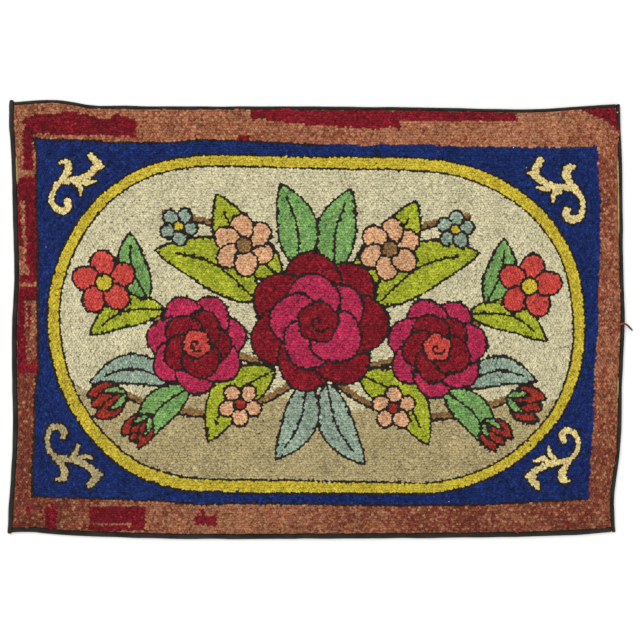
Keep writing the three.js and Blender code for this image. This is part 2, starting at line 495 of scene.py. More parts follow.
class RingOutline(NamedTuple):
    """Weights of the rows beside a stretch of the ring, which runs anticlockwise from angle to angle."""

    first: float
    last: float
    outer: float
    inner: float


RING_OUTLINES = (
    RingOutline(-62, 72, 0.62, 0.62),
    RingOutline(72, 118, 0.8, 0.62),
    RingOutline(118, 200, 0.92, 0.78),
    RingOutline(200, 298, 0.85, 0.8),
)


def oval_stretch(line, first, last):
    """The part of a line round the oval that lies between two angles."""
    x, y = (line - OVAL_CENTRE).T
    angle = (np.degrees(np.arctan2(y, x)) - first) % 360
    order = np.argsort(angle)
    return line[order[angle[order] <= last - first]]


class Scroll(NamedTuple):
    """One stroke of a corner scroll, with its width at each point."""

    points: tuple
    widths: tuple


SCROLL_STROKES = (
    Scroll(
        ((-17, -31), (-16, -40), (-25, -47), (-36, -42), (-42, -29), (-39, -12), (-29, 1)),
        (12, 14, 12, 10, 9, 9, 10),
    ),
    Scroll(((-30, 0), (-20, 12), (-14, 25), (-18, 35), (-29, 35)), (9, 11, 14, 15, 5)),
    Scroll(((-29, 1), (-9, 4), (11, 9), (28, 19), (34, 31), (25, 45)), (8, 11, 11, 12, 15, 12)),
    Scroll(((-5, 2), (4, -7), (6, -19)), (11, 10, 5)),
    Scroll(((5, 5), (17, 0), (31, 4)), (8, 10, 4)),
    Scroll(((31, 22), (44, 28)), (9, 6)),
)
SCROLL_OUTLINE = 0.75  # weight of the row round a scroll
SCROLL_MARGIN = 1.2  # from a stroke's edge to the middle of that row
SCROLL_SLIP = 0.8  # how uneven the hand was


class ScrollPlace(NamedTuple):
    """Where a scroll lies, how it is turned over, its size and how heavy its strokes are."""

    x: float
    y: float
    across: int
    up: int
    size: float
    weight: float
    yarn: str


SCROLL_PLACES = (
    ScrollPlace(-373, 213, 1, 1, 0.93, 0.88, "straw"),
    ScrollPlace(375, 202, -1, 1, 1.0, 0.95, "straw"),
    ScrollPlace(-378, -214, 1, -1, 1.0, 0.82, "wheat"),
    ScrollPlace(369, -218, -1, -1, 0.95, 0.85, "straw"),
)


def draw_scrolls(plan, rng):
    """The same scroll in each corner, turned over to face the oval and a little uneven."""
    for place in SCROLL_PLACES:
        turned = place.size * np.array((place.across, place.up))
        strokes = []
        for stroke in SCROLL_STROKES:
            points = np.array(stroke.points, float) + rng.normal(0.0, SCROLL_SLIP, (len(stroke.points), 2))
            points = smooth(points * turned + (place.x, place.y))
            known = np.linspace(0.0, 1.0, len(stroke.widths))
            widths = np.interp(np.linspace(0.0, 1.0, len(points)), known, stroke.widths)
            strokes.append((points, place.weight * widths))
        for points, widths in strokes:
            away = 0.5 * widths + SCROLL_MARGIN
            for outline in (sideways(points, away), sideways(points, -away)):
                plan.line(outline, SCROLL_OUTLINE)
            for end in (0, -1):
                plan.line(round_outline(points[end], away[end]), SCROLL_OUTLINE)
        for points, widths in strokes:
            plan.brush(points, widths, place.yarn)


class Leaf(NamedTuple):
    base: tuple
    tip: tuple
    width: float
    bend: float
    yarn: str


class Daisy(NamedTuple):
    place: tuple
    radius: float
    petals: int
    yarn: str
    heart: str
    turn: float  # on both sides alike
    swing: float  # turned the other way on the left


class Bud(NamedTuple):
    place: tuple
    length: float
    droop: float


class PetalRing(NamedTuple):
    """Petals of a rose; reach and size are shares of its radius."""

    count: int
    reach: float
    size: float


# Right half of the spray, from the oval's centre; the left half is its uneven mirror image
STEMS = (
    ((0, -40), (70, -62), (150, -40), (250, 6), (322, 52)),
    ((0, -60), (60, -110), (140, -140), (236, -134), (316, -104)),
    ((30, 40), (86, 96), (150, 150), (236, 172)),
)
LEAVES = (
    Leaf((26, 84), (52, 214), 62, 0.08, "green"),
    Leaf((54, 70), (150, 196), 74, -0.10, "lime"),
    Leaf((92, 34), (246, 112), 76, 0.12, "lime"),
    Leaf((236, 20), (356, -18), 50, 0.14, "lime"),
    Leaf((262, 36), (290, 136), 48, -0.10, "green"),
    Leaf((64, -74), (168, -186), 66, 0.14, "lime"),
    Leaf((14, -90), (66, -216), 54, -0.10, "teal"),
    Leaf((196, -100), (276, -196), 52, 0.12, "green"),
    Leaf((224, -92), (346, -86), 46, 0.16, "teal"),
)
DAISIES = (
    Daisy((112, 120), 48, 6, "peach", "camel", 0.0, 0.4),
    Daisy((330, 62), 50, 5, "coral", "yellow", 0.9, 0.5),
    Daisy((214, 150), 30, 5, "teal", "yellow", 0.0, 0.2),
    Daisy((118, -128), 34, 5, "peach", "brick", 0.0, 0.3),
)
BUDS = (Bud((300, -112), 54, 0.35), Bud((262, -150), 46, 0.9))
ROSE_RINGS = (PetalRing(7, 0.64, 0.40), PetalRing(5, 0.36, 0.36))
STEM_WIDTH = 9.0
STEM_OUTLINE = 5.5  # from a stem's middle to the row below it
SPRAY_SLIP = 3.0  # how far the two halves and their leaves differ
LOWER_GROUND = ((-420, -88), (-300, -120), (-120, -104), (40, -142), (200, -116), (330, -140), (420, -96))


def draw_rose(plan, centre, radius, petals, turn):
    """Rings of overlapping petals round a heart; petals names the yarn of each ring and the heart."""
    for ring, yarn in zip(ROSE_RINGS, petals):
        for k in range(ring.count):
            angle = turn + 2 * math.pi * k / ring.count + ring.reach
            at = centre + ring.reach * radius * np.array((math.cos(angle), math.sin(angle)))
            plan.shape(round_outline(at, ring.size * radius, 3, 0.06, angle, 1.12), yarn)
    plan.shape(round_outline(centre, 0.30 * radius, 5, 0.06, turn), petals[-1])
    curl = np.linspace(0.3, 5.6, 40)
    reach = 0.03 * radius * curl
    swirl = np.stack([reach * np.cos(curl + turn), reach * np.sin(curl + turn)], axis=1)
    plan.line(centre + swirl)


def draw_daisy(plan, centre, daisy, turn):
    """Round petals about a small heart."""
    radius = daisy.radius
    for k in range(daisy.petals):
        angle = turn + 2 * math.pi * k / daisy.petals
        at = centre + 0.58 * radius * np.array((math.cos(angle), math.sin(angle)))
        plan.shape(round_outline(at, 0.44 * radius, 0, 0.0, angle, 0.86), daisy.yarn)
    plan.shape(round_outline(centre, 0.27 * radius), daisy.heart)


def draw_bud(plan, centre, length, turn):
    """A closed bud held by two sepals."""
    ahead = np.array((math.cos(turn), math.sin(turn)))
    across = np.array((-ahead[1], ahead[0]))
    for lean in (-0.34, 0.0, 0.34):
        tip = centre + length * (ahead + lean * across)
        plan.shape(leaf_outline(centre, tip, 0.52 * length, 0.3 * lean)[0], "brick")
    for lean in (-0.5, 0.5):
        tip = centre + 0.55 * length * (ahead + lean * across)
        plan.shape(leaf_outline(centre - 0.1 * length * ahead, tip, 0.22 * length, 0.2 * lean)[0], "green")


def draw_spray(plan, rng):
    """A spray of garden flowers, leaves behind and blooms in front."""
    for side in (1, -1):
        uneven = rng.normal(0.0, SPRAY_SLIP, 2)

        def put(points):
            return OVAL_CENTRE + uneven + np.asarray(points, float) * (side, 1)

        for stem in STEMS:
            line = smooth(put(stem))
            plan.brush(line, np.full(len(line), STEM_WIDTH), "camel")
            plan.line(sideways(line, -STEM_OUTLINE * side))
        for leaf in LEAVES:
            slip = rng.normal(0.0, SPRAY_SLIP, 2)
            base, tip = put(leaf.base), put(leaf.tip) + slip
            outline, midrib = leaf_outline(base, tip, leaf.width, leaf.bend * side)
            plan.shape(outline, leaf.yarn)
            plan.line(midrib)
        for daisy in DAISIES:
            draw_daisy(plan, put(daisy.place), daisy, daisy.turn + daisy.swing * side)
        for bud in BUDS:
            draw_bud(plan, put(bud.place), bud.length, math.pi / 2 - side * (math.pi / 2 + bud.droop))
        draw_rose(plan, put((186, -34)), 74, ("raspberry", "crimson", "coral"), 0.4 * side)
    draw_rose(plan, OVAL_CENTRE + (2, 4), 104, ("crimson", "raspberry", "crimson"), 0.2)


@functools.lru_cache
def drawing():
    """The whole drawing, painted from the border inwards."""
    rng = np.random.default_rng(SEED)
    plan = Plan()
    for polygon in (*CRIMSON_BANDS, *CRIMSON_BLOCKS):
        plan.fill(polygon, "crimson")
    for polygon in RUST_AGAIN:
        plan.fill(polygon, "rust")
    plan.fill(FIELD, "blue")
    around = np.concatenate([FIELD, FIELD[:1]])
    for row in FIELD_OUTLINES:
        plan.line(around[row.first : row.last + 1], row.weight, row.yarn)
    draw_scrolls(plan, rng)
    half_ring = 0.5 * sizes().ring_width / MM
    for row in RING_OUTLINES:
        around = oval_line(half_ring + row.outer * Plan.HALF_ROW)
        plan.line(oval_stretch(around, row.first, row.last), row.outer)
    plan.fill(oval_line(half_ring), "yellow")
    plan.fill(oval_line(-half_ring), "cream")
    ground = smooth(LOWER_GROUND, step=OVAL_STEP)
    inside = oval_line(-half_ring - 1)
    inside = inside[inside[:, 1] < np.interp(inside[:, 0], ground[:, 0], ground[:, 1])]
    keep = (ground[:, 0] > inside[:, 0].min()) & (ground[:, 0] < inside[:, 0].max())
    order = np.argsort(inside[:, 0])
    plan.fill(np.concatenate([inside[order], ground[keep][::-1]]), "wheat")
    draw_spray(plan, rng)
    for row in RING_OUTLINES:
        around = oval_line(-half_ring - row.inner * Plan.HALF_ROW)
        plan.line(oval_stretch(around, row.first, row.last), row.inner)
    return plan


# Hooking: where each loop stands


class Loops(NamedTuple):
    x: np.ndarray
    y: np.ndarray
    turn: np.ndarray
    yarn: np.ndarray
    fat: np.ndarray  # width as a share of a usual loop's


class Bare(NamedTuple):
    """A stretch of a side where the burlap shows between pile and tape."""

    side: str
    low: float
    high: float


BARE_STRETCHES = (Bare("right", 130, 256), Bare("right", -126, -88), Bare("left", 206, 258))
BARE_WIDTH = 2.2
BARE_LIFT = 2.9  # the burlap is drawn up to the tape where it shows
BARE_EASE = 10.0  # length in which it comes into view
RIM_INSET = 3.0  # from the tape's foot to the middle of the rim's row
RIM_FAT = 0.85  # width of its loops
RIM_JITTER = 0.4  # how uneven it is
RIM_STATIONS = 300
RIM_SLACK = 0.05  # share of its inset that it may come nearer to another side
CORNER_LEAN = 3.8  # how much further the pile leans out at the upper right corner
CORNER_SPAN = (262.0, 332.0)
CORNER_EASE = 24.0
# How far the rim's loops lie on the tape
OVERHANG = {"bottom": 0.6, "right": 0.5, "top": 0.6, "left": -0.1}
LEAN_LIMITS = (-0.4, 2.6)
# Pale ends caught in the pile
STRAY_WISPS = ((308, 268), (328, 237), (207, -284), (-421, 113), (470, 323))
WISP_SIZE = 0.36
WISP_TURN = 0.5

# Distances between loops, as shares of the pitch
RIM_PITCH = 0.94
LINE_PITCH = 0.9
LINE_JITTER = 0.05
LINE_CLEAR = 0.55
ROW_ROOM, ROW_ROOM_BY_WEIGHT = 0.38, 0.28
FILL_ROWS = 0.9
FILL_JITTER = 0.1
FILL_ROOM = 0.74
HOLE_ROOM = 0.66

UPRIGHT_FROM = 150.0  # rows run up the rug where a place lies this much further along it than across
TURN_SPREAD = 0.6
TAPE_GAP = 0.3
TAPE_CREST = 0.4  # how far above the tape its gap is kept


class Wave(NamedTuple):
    """Uneven waves, a span or so apart; a side or a yarn adds its own number to the seed."""

    height: float
    span: float
    seed: int

    PARTS = 7
    LENGTHS = (0.5, 1.6)
    SCALE = 3.2  # brings the sum of the parts to about -1 to 1
    LIMIT = 1.5

    def at(self, x, y, number):
        rng = np.random.default_rng(self.seed + number)
        total = np.zeros_like(x)
        for _ in range(self.PARTS):
            angle, shift = rng.uniform(0.0, 2 * np.pi, 2)
            length = self.span * rng.uniform(*self.LENGTHS)
            total += np.sin(2 * np.pi * (x * math.cos(angle) + y * math.sin(angle)) / length + shift)
        return self.height * np.clip(total / self.SCALE, -self.LIMIT, self.LIMIT)


RIM_WAVES = (Wave(1.2, 70.0, 400), Wave(0.9, 18.0, 410))


def bare_width(side, at):
    """How much burlap shows along a side."""
    width = np.zeros_like(at)
    for stretch in BARE_STRETCHES:
        if stretch.side == side:
            ends = np.minimum(at - stretch.low, stretch.high - at)
            width = np.maximum(width, BARE_WIDTH * np.clip(ends / BARE_EASE, 0.0, 1.0))
    return width


def corner_lean(at):
    """How much further the pile leans out towards the right side's upper end."""
    low, high = CORNER_SPAN
    return CORNER_LEAN * np.clip(np.minimum(at - low, high - at) / CORNER_EASE, 0.0, 1.0)


def overhang(side, at):
    """How far the rim's row leans over the tape; it waves along the side."""
    number = tuple(OVERHANG).index(side)
    lean = np.full_like(at, OVERHANG[side])
    for wave in RIM_WAVES:
        lean += wave.at(at, np.zeros_like(at), number)
    lean = np.clip(lean, *LEAN_LIMITS)
    if side == "right":
        lean += corner_lean(at)
    return np.where(bare_width(side, at) > 0, 0.0, lean)


def discs(points, radius, plan):
    """The plan's cells within a radius of places."""
    reach = np.arange(-math.ceil(radius), math.ceil(radius) + 1)
    dx, dy = np.meshgrid(reach, reach)
    near = dx**2 + dy**2 <= radius**2
    return plan.cells(points[:, None, :] + np.stack([dx[near], dy[near]], axis=1))


def row_loops(plan, pitch, rng):
    """Loops in single rows: round the rim and along the drawing's lines."""
    found = []
    for side, edge in edges().items():
        along = np.linspace(edge.at[0], edge.at[-1], RIM_STATIONS)
        inset = RIM_INSET + bare_width(side, along) - overhang(side, along)
        rim = edge.place(along, edge.foot_at(along) - inset, 0.0)[:, :2]
        rim = rim[rim_distance(*rim.T) > inset - RIM_SLACK * np.abs(inset)]
        places, turn = walk(rim, RIM_PITCH * pitch)
        places = places + rng.normal(0.0, RIM_JITTER, places.shape)
        fat = np.full(len(places), RIM_FAT)
        found.append(np.column_stack([places, turn, plan.at(*places.T), fat]))
    for points, weight, yarn, owner in plan.lines:
        places, turn = walk(points, LINE_PITCH * pitch)
        shown = plan.owner[plan.cells(places)] == owner
        kind = np.tile((yarn, weight), (len(places), 1))
        found.append(np.column_stack([places, turn, kind])[shown])
    rows = np.concatenate(found)
    rows[:, :2] += rng.normal(0.0, LINE_JITTER * pitch, (len(rows), 2))
    taken = np.zeros(plan.yarn.shape, bool)
    keep = np.ones(len(rows), bool)
    for k, place in enumerate(rows[:, :2]):
        keep[k] = not taken[plan.cells(place)]
        if keep[k]:
            taken[discs(place[None], LINE_CLEAR * pitch, plan)] = True
    return rows[keep]


def filling_loops(plan, rows, pitch, rng):
    """Loops that fill the areas between the rows, hooked in staggered lines."""
    high = -plan.low
    y, x = np.mgrid[-high[1] : high[1] : FILL_ROWS * pitch, -high[0] : high[0] : pitch]
    x = x + 0.5 * pitch * (np.arange(len(y)) % 2)[:, None]
    places = np.stack([x.ravel(), y.ravel()], axis=1)
    places += rng.normal(0.0, FILL_JITTER * pitch, places.shape)

    def inside(places):
        x, y = places.T
        bare = np.where(x > 0, bare_width("right", y), bare_width("left", y))
        rim = rim_distance(x, y)
        nearest = edges()["right"].foot_at(y) - x < rim + 0.01
        return rim > RIM_INSET + bare - np.where(nearest, corner_lean(y), 0.0)

    busy = np.zeros(plan.yarn.shape, bool)
    for weight in np.unique(rows[:, 4]):
        room = (ROW_ROOM + ROW_ROOM_BY_WEIGHT * weight) * pitch
        busy[discs(rows[rows[:, 4] == weight, :2], room, plan)] = True
    places = places[~busy[plan.cells(places)] & inside(places)]
    busy[discs(places, FILL_ROOM * pitch, plan)] = True
    grid_y, grid_x = np.nonzero(~busy)
    holes = np.stack([grid_x, grid_y], axis=1) + plan.low
    extra = []
    for place in rng.permutation(holes[inside(holes)]):
        if not busy[plan.cells(place)]:
            extra.append(place)
            busy[discs(place[None], HOLE_ROOM * pitch, plan)] = True
    places = np.concatenate([places, np.array(extra, float).reshape(-1, 2)])
    x, y = places.T
    upright = np.abs(x) > np.abs(y) + UPRIGHT_FROM
    turn = np.where(upright, np.pi / 2, 0.0) + rng.normal(0.0, TURN_SPREAD, len(x))
    return np.column_stack([places, turn, plan.at(x, y), np.ones(len(x))])


@functools.lru_cache
def hooked():
    """Every loop of the rug."""
    rng = np.random.default_rng(SEED + 1)
    plan = drawing()
    pitch = sizes().pitch / MM
    rows = row_loops(plan, pitch, rng)
    loops = np.concatenate([rows, filling_loops(plan, rows, pitch, rng)])
    wisps = [(x, y, WISP_TURN, NUMBER["cream"], WISP_SIZE) for x, y in STRAY_WISPS]
    return Loops(*np.concatenate([loops, wisps]).T)


def behind_tape(x, y, z):
    """Keeps what stands lower than the tape clear of it."""
    side = edges()
    low = z < side["left"].heights[-1] + TAPE_CREST
    clear_x = np.clip(x, TAPE_GAP - side["left"].foot_at(y), side["right"].foot_at(y) - TAPE_GAP)
    clear_y = np.clip(y, TAPE_GAP - side["bottom"].foot_at(x), side["top"].foot_at(x) - TAPE_GAP)
    return np.where(low, clear_x, x), np.where(low, clear_y, y)


class Lot(NamedTuple):
    """Where a border was hooked with a deeper lot of its yarn, or, below zero, a paler one."""

    x: float
    y: float
    reach: float
    amount: float


LOTS = {
    "rust": (
        Lot(-450, -180, 110, 1.4),
        Lot(-455, -295, 60, 0.75),
        Lot(-200, -312, 65, -0.7),
        Lot(-92, -312, 45, -1.3),
        Lot(147, -312, 28, 0.6),
        Lot(280, -305, 150, 0.65),
        Lot(446, -270, 70, 0.8),
        Lot(446, 20, 130, 0.4),
        Lot(446, 240, 60, 0.7),
        Lot(335, 308, 50, -1.1),
        Lot(160, 308, 45, -0.9),
    ),
    "crimson": (
        Lot(-430, 260, 210, 1.1),
        Lot(-458, -20, 55, 0.9),
        Lot(-340, -305, 120, 0.8),
    ),
}
LOT_WAVE = Wave(0.3, 110.0, 0)
DRIFT_WAVE = Wave(1.0, 60.0, 50)
FADE_UP, FADE_RIGHT = 0.8, 0.4
LOT_PULL = 0.25  # how much more loops lean to the second colour in a deep lot
DEEP_LIMITS = (0.05, 0.95)
LEANING, RESTING = (0.25, 0.85), (0.0, 0.2)  # shares of the second colour
DARKEST = 0.35


def loop_tones(loops, yarn_name, rng):
    """Each loop's colour as a share of its yarn's dye."""
    yarn, number = YARNS[yarn_name], NUMBER[yarn_name]
    dye = np.array(getattr(bpy.context.scene.rug_yarns, yarn_name))
    count = len(loops.x)
    side = edges()
    height = FADE_UP * loops.y / side["top"].foot.mean() + FADE_RIGHT * loops.x / side["right"].foot.mean()
    lot = LOT_WAVE.at(loops.x, loops.y, number) - 2 * yarn.fade * height
    for place in LOTS.get(yarn_name, ()):
        away = np.hypot(loops.x - place.x, loops.y - place.y)
        lot += place.amount * np.exp(-((away / place.reach) ** 2))
    deep = rng.random(count) < np.clip(0.5 + 0.5 * lot, *DEEP_LIMITS)
    strong = np.clip(lot, 0.0, 1.0)
    leans = rng.random(count) < yarn.heather + LOT_PULL * strong
    leaning = np.minimum(rng.uniform(*LEANING, count) + LOT_PULL * strong, 1.0)
    share = np.where(leans, leaning, rng.uniform(*RESTING, count))
    second = np.where(deep[:, None], yarn.deep, yarn.pale)
    tint = 1 + share[:, None] * (second / dye - 1)
    light = 1 + yarn.spread * np.clip(rng.normal(size=count), -2.0, 2.0) + yarn.fade * height
    light += yarn.drift * (DRIFT_WAVE.at(loops.x, loops.y, number) - 0.5 * strong)
    return tint * np.maximum(light, DARKEST)[:, None]


# Helpers for modelling


def start_piece():
    """Deselects everything, so that the next operators touch the new piece alone."""
    if bpy.context.object and bpy.context.object.mode != "OBJECT":
        bpy.ops.object.mode_set(mode="OBJECT")
    bpy.ops.object.select_all(action="DESELECT")


def keep_piece(piece, name):
    """Names a finished piece and lets it move with the rug."""
    piece.name = name
    piece.data.name = name
    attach(piece, "root")
    return piece


def copied_mesh(name, copies, faces):
    """One smooth mesh of many copies of a small shape."""
    count, size = copies.shape[:2]
    corners = np.concatenate([np.array(face) for face in faces])
    lengths = np.tile([len(face) for face in faces], count)
    mesh = bpy.data.meshes.new(name)
    mesh.vertices.add(count * size)
    mesh.vertices.foreach_set("co", copies.ravel())
    every = (np.arange(count)[:, None] * size + corners).ravel()
    mesh.loops.add(len(every))
    mesh.loops.foreach_set("vertex_index", every.astype(np.int32))
    mesh.polygons.add(len(lengths))
    starts = np.concatenate([[0], np.cumsum(lengths)[:-1]])
    mesh.polygons.foreach_set("loop_start", starts.astype(np.int32))
    mesh.polygons.foreach_set("use_smooth", np.ones(len(lengths), bool))
    mesh.update(calc_edges=True)
    piece = bpy.data.objects.new(name, mesh)
    bpy.context.scene.collection.objects.link(piece)
    return piece


def modelled():
    """Takes a small modelled shape's points and faces, and clears the shape away."""
    piece = bpy.context.object
    points = np.array([vertex.co for vertex in piece.data.vertices])
    faces = [tuple(face.vertices) for face in piece.data.polygons]
    bpy.data.objects.remove(piece)
    return points, faces


def give_colours(piece, name, colours):
    """A colour for each point of a piece."""
    made = piece.data.attributes.new(name, "FLOAT_COLOR", "POINT")
    made.data.foreach_set("color", np.column_stack([colours, np.ones(len(colours))]).ravel())


def shaped_grid(columns, rows, place, wrap=False):
    """A grid primitive whose points are moved to place(u, v); wrap joins its first and last row."""
    start_piece()
    bpy.ops.mesh.primitive_grid_add(x_subdivisions=columns, y_subdivisions=rows, size=2.0)
    piece = bpy.context.object
    flat = np.empty(len(piece.data.vertices) * 3)
    piece.data.vertices.foreach_get("co", flat)
    u, v = (flat.reshape(-1, 3)[:, :2].T + 1) / 2
    piece.data.vertices.foreach_set("co", (place(u, v) * MM).ravel())
    piece.data.update()
    if wrap:
        bpy.ops.object.mode_set(mode="EDIT")
        bpy.ops.mesh.select_all(action="SELECT")
        bpy.ops.mesh.remove_doubles(threshold=0.01 * MM)
        bpy.ops.mesh.fill_holes(sides=0)
        bpy.ops.mesh.normals_make_consistent(inside=False)
        bpy.ops.object.mode_set(mode="OBJECT")
    return piece


class Loop(NamedTuple):
    """The yarn loop that every loop of the pile is copied from, its top at the origin, in millimetres."""

    points: np.ndarray
    faces: list
    feet: np.ndarray  # which points stand in the burlap
    flat: np.ndarray  # places of the faces' corners on a unit map


RIDGE = 0.44  # length of a loop's ridge as a share of the loop's
FOOT_SPREAD = 0.95
LOOP_FOOT = 1.6  # height of the feet, inside the burlap
MAP_REACH = np.array((0.46, 0.33, 0.12))  # of the feet, shoulder and ridge from the map's middle
SOLE_PLACE, SOLE_REACH = 0.06, 0.05
CELL_EDGE = 0.06  # rim of a loop's cell in the map of all loops


def model_loop():
    """A four-sided foot drawn up to a shoulder and closed along a ridge."""
    size = sizes()
    start_piece()
    bpy.ops.mesh.primitive_circle_add(
        vertices=4, radius=math.sqrt(2.0), fill_type="NGON", rotation=(0.0, 0.0, math.pi / 4)
    )
    bpy.ops.object.transform_apply(location=True, rotation=True, scale=True)
    bpy.ops.object.mode_set(mode="EDIT")
    bpy.ops.mesh.select_all(action="SELECT")
    for _ in ("shoulder", "ridge"):
        bpy.ops.mesh.extrude_region_move(TRANSFORM_OT_translate={"value": (0.0, 0.0, 1.0)})
    bpy.ops.transform.resize(value=(RIDGE, 0.0, 1.0))
    bpy.ops.mesh.select_all(action="SELECT")
    bpy.ops.mesh.remove_doubles(threshold=0.1 * RIDGE)
    bpy.ops.mesh.normals_make_consistent(inside=False)
    bpy.ops.object.mode_set(mode="OBJECT")
    points, faces = modelled()
    level = points[:, 2].round().astype(int)
    flat = loop_map(points, faces, level)
    feet, ridge = level == 0, level == 2
    points[ridge, 0] = RIDGE * np.sign(points[ridge, 0])
    points[feet, :2] *= FOOT_SPREAD
    points[:, 0] *= 0.5 * size.loop_length / MM
    points[:, 1] *= 0.5 * size.yarn_width / MM
    points[:, 2] = np.where(ridge, 0.0, -size.loop_height / MM)
    return Loop(points, faces, feet, flat)


def loop_map(points, faces, level):
    """Lays a loop flat as seen from above, its foot outermost, with the sole in a corner of the map."""
    away = points[:, :2] / np.maximum(np.linalg.norm(points[:, :2], axis=1, keepdims=True), 1e-6)
    places = []
    for face in faces:
        sole = all(level[vertex] == 0 for vertex in face)
        for vertex in face:
            middle, reach = (SOLE_PLACE, SOLE_REACH) if sole else (0.5, MAP_REACH[level[vertex]])
            places.append(middle + reach * away[vertex])
    return np.array(places)


# Materials


def node(tree, kind, settings=None, inputs=None):
    """A shader node with its settings, and values or links on its inputs."""
    made = tree.nodes.new(kind)
    for name, value in (settings or {}).items():
        setattr(made, name, value)
    for name, value in (inputs or {}).items():
        if isinstance(value, bpy.types.NodeSocket):
            tree.links.new(value, made.inputs[name])
        else:
            made.inputs[name].default_value = value
    return made


def paint(*screen):
    """A colour in screen values, as a shader's socket takes it."""
    return (*dyed(*screen), 1.0)


def object_place(tree):
    return node(tree, "ShaderNodeTexCoord").outputs["Object"]


def parts(tree, vector):
    return node(tree, "ShaderNodeSeparateXYZ", None, {0: vector}).outputs


def attribute(tree, name, output):
    return node(tree, "ShaderNodeAttribute", {"attribute_name": name}).outputs[output]


def maths(tree, operation, *values):
    return node(tree, "ShaderNodeMath", {"operation": operation}, dict(enumerate(values))).outputs[0]


def times(tree, first, second):
    return maths(tree, "MULTIPLY", first, second)


def plus(tree, first, second):
    return maths(tree, "ADD", first, second)


def mixed(tree, mode, factor, first, second):
    """Two colours mixed by a blend mode."""
    settings = {"data_type": "RGBA", "blend_type": mode}
    return node(tree, "ShaderNodeMix", settings, {0: factor, 6: first, 7: second}).outputs[2]


def ranged(tree, value, from_low, from_high, to_low, to_high):
    values = {0: value, 1: from_low, 2: from_high, 3: to_low, 4: to_high}
    return node(tree, "ShaderNodeMapRange", None, values).outputs[0]


def noise(tree, vector, scale, detail):
    inputs = {"Vector": vector, "Scale": scale, "Detail": detail}
    return node(tree, "ShaderNodeTexNoise", None, inputs).outputs["Fac"]


def group(name, inputs, outputs):
    """An empty node group with named sockets; returns its tree, inputs and output node."""
    tree = bpy.data.node_groups.new(name, "ShaderNodeTree")
    for label, kind in inputs:
        tree.interface.new_socket(label, in_out="INPUT", socket_type=kind)
    for label, kind in outputs:
        tree.interface.new_socket(label, in_out="OUTPUT", socket_type=kind)
    given = tree.nodes.new("NodeGroupInput").outputs
    return tree, given, tree.nodes.new("NodeGroupOutput").inputs


def use_group(tree, source, **inputs):
    return node(tree, "ShaderNodeGroup", {"node_tree": source}, inputs).outputs


FLOAT, COLOUR = "NodeSocketFloat", "NodeSocketColor"
WOOL_PLIES = 3.5
WOOL_SLANT = 0.4
FIBRES = (3.0, 18.0)  # along and across the yarn
# Heights above the floor and the brightness there: painted shade low in the pile between the loops, painted
# light on the loop tops
PAINTED_SHADE_LEVELS, PAINTED_SHADE_FACTORS = (6.4 * MM, 8.7 * MM), (0.5, 1.15)
FIBRE_HEATHER = 0.55  # share of a yarn's heather that shows within a loop


@functools.lru_cache
def wool_group():
    """Spun wool: plies round the yarn, fine fibres, painted shade low in the pile and painted light on the
    loop tops.
    """
    tree, given, out = group(
        "Spun Wool",
        (("Dye", COLOUR), ("Tone", COLOUR), ("Deep", COLOUR), ("Pale", COLOUR), ("Heather", FLOAT)),
        (("Colour", COLOUR), ("Roughness", FLOAT), ("Height", FLOAT)),
    )
    place = object_place(tree)
    along = node(tree, "ShaderNodeUVMap", {"uv_map": "yarn"}).outputs["UV"]
    split = parts(tree, along)
    across = plus(tree, split[1], times(tree, split[0], WOOL_SLANT))
    ply = maths(tree, "SINE", times(tree, across, WOOL_PLIES * 2 * math.pi))
    lengthwise = {0: times(tree, split[0], FIBRES[0]), 1: times(tree, across, FIBRES[1])}
    strands = node(tree, "ShaderNodeCombineXYZ", None, lengthwise).outputs[0]
    settings = {"operation": "MULTIPLY_ADD"}
    apart = node(tree, "ShaderNodeVectorMath", settings, {0: place, 1: (170.0,) * 3, 2: strands}).outputs[0]
    fibre = noise(tree, apart, 1.0, 3.0)
    height = plus(tree, times(tree, ply, 0.3), fibre)
    level = parts(tree, place)[2]
    # painted shade and light by height: darker low between the loops, lighter on their tops
    painted_height_shade = ranged(tree, level, *PAINTED_SHADE_LEVELS, *PAINTED_SHADE_FACTORS)
    strand = ranged(tree, fibre, 0.25, 0.75, 0.78, 1.18)
    # painted shade in the grooves between the plies, and a faint painted highlight on their crests
    ply_groove_shade = ranged(tree, ply, -1.0, 1.0, 0.88, 1.06)
    shade = times(tree, times(tree, strand, ply_groove_shade), painted_height_shade)
    blot = noise(tree, place, 330.0, 1.0)
    fleck = plus(tree, times(tree, blot, 0.45), times(tree, fibre, 0.55))
    deep = times(tree, ranged(tree, fleck, 0.46, 0.36, 0.0, 1.0), given["Heather"])
    pale = times(tree, ranged(tree, fleck, 0.54, 0.64, 0.0, 1.0), given["Heather"])
    colour = mixed(tree, "MULTIPLY", 1.0, given["Dye"], given["Tone"])
    colour = mixed(tree, "MIX", deep, colour, given["Deep"])
    colour = mixed(tree, "MIX", pale, colour, given["Pale"])
    tree.links.new(mixed(tree, "MULTIPLY", 1.0, colour, shade), out["Colour"])
    tree.links.new(ranged(tree, fibre, 0.2, 0.8, 0.98, 0.82), out["Roughness"])
    tree.links.new(height, out["Height"])
    return tree


SHEEN_ROUGHNESS = 0.5
SPECULAR = 0.18
BUMP_STRENGTH = 0.7


def finish_material(material, colour, roughness, height, bump, sheen):
    """Joins a pattern to the material's shader."""
    tree = material.node_tree
    shader = tree.nodes["Principled BSDF"]
    shader.inputs["Specular IOR Level"].default_value = SPECULAR
    shader.inputs["Sheen Weight"].default_value = sheen
    shader.inputs["Sheen Roughness"].default_value = SHEEN_ROUGHNESS
    inputs = {"Height": height, "Strength": BUMP_STRENGTH, "Distance": bump}
    relief = node(tree, "ShaderNodeBump", None, inputs)
    tree.links.new(colour, shader.inputs["Base Color"])
    tree.links.new(roughness, shader.inputs["Roughness"])
    tree.links.new(relief.outputs["Normal"], shader.inputs["Normal"])
    return material


def new_material(name):
    material = bpy.data.materials.new(name)
    material.use_nodes = True
    return material


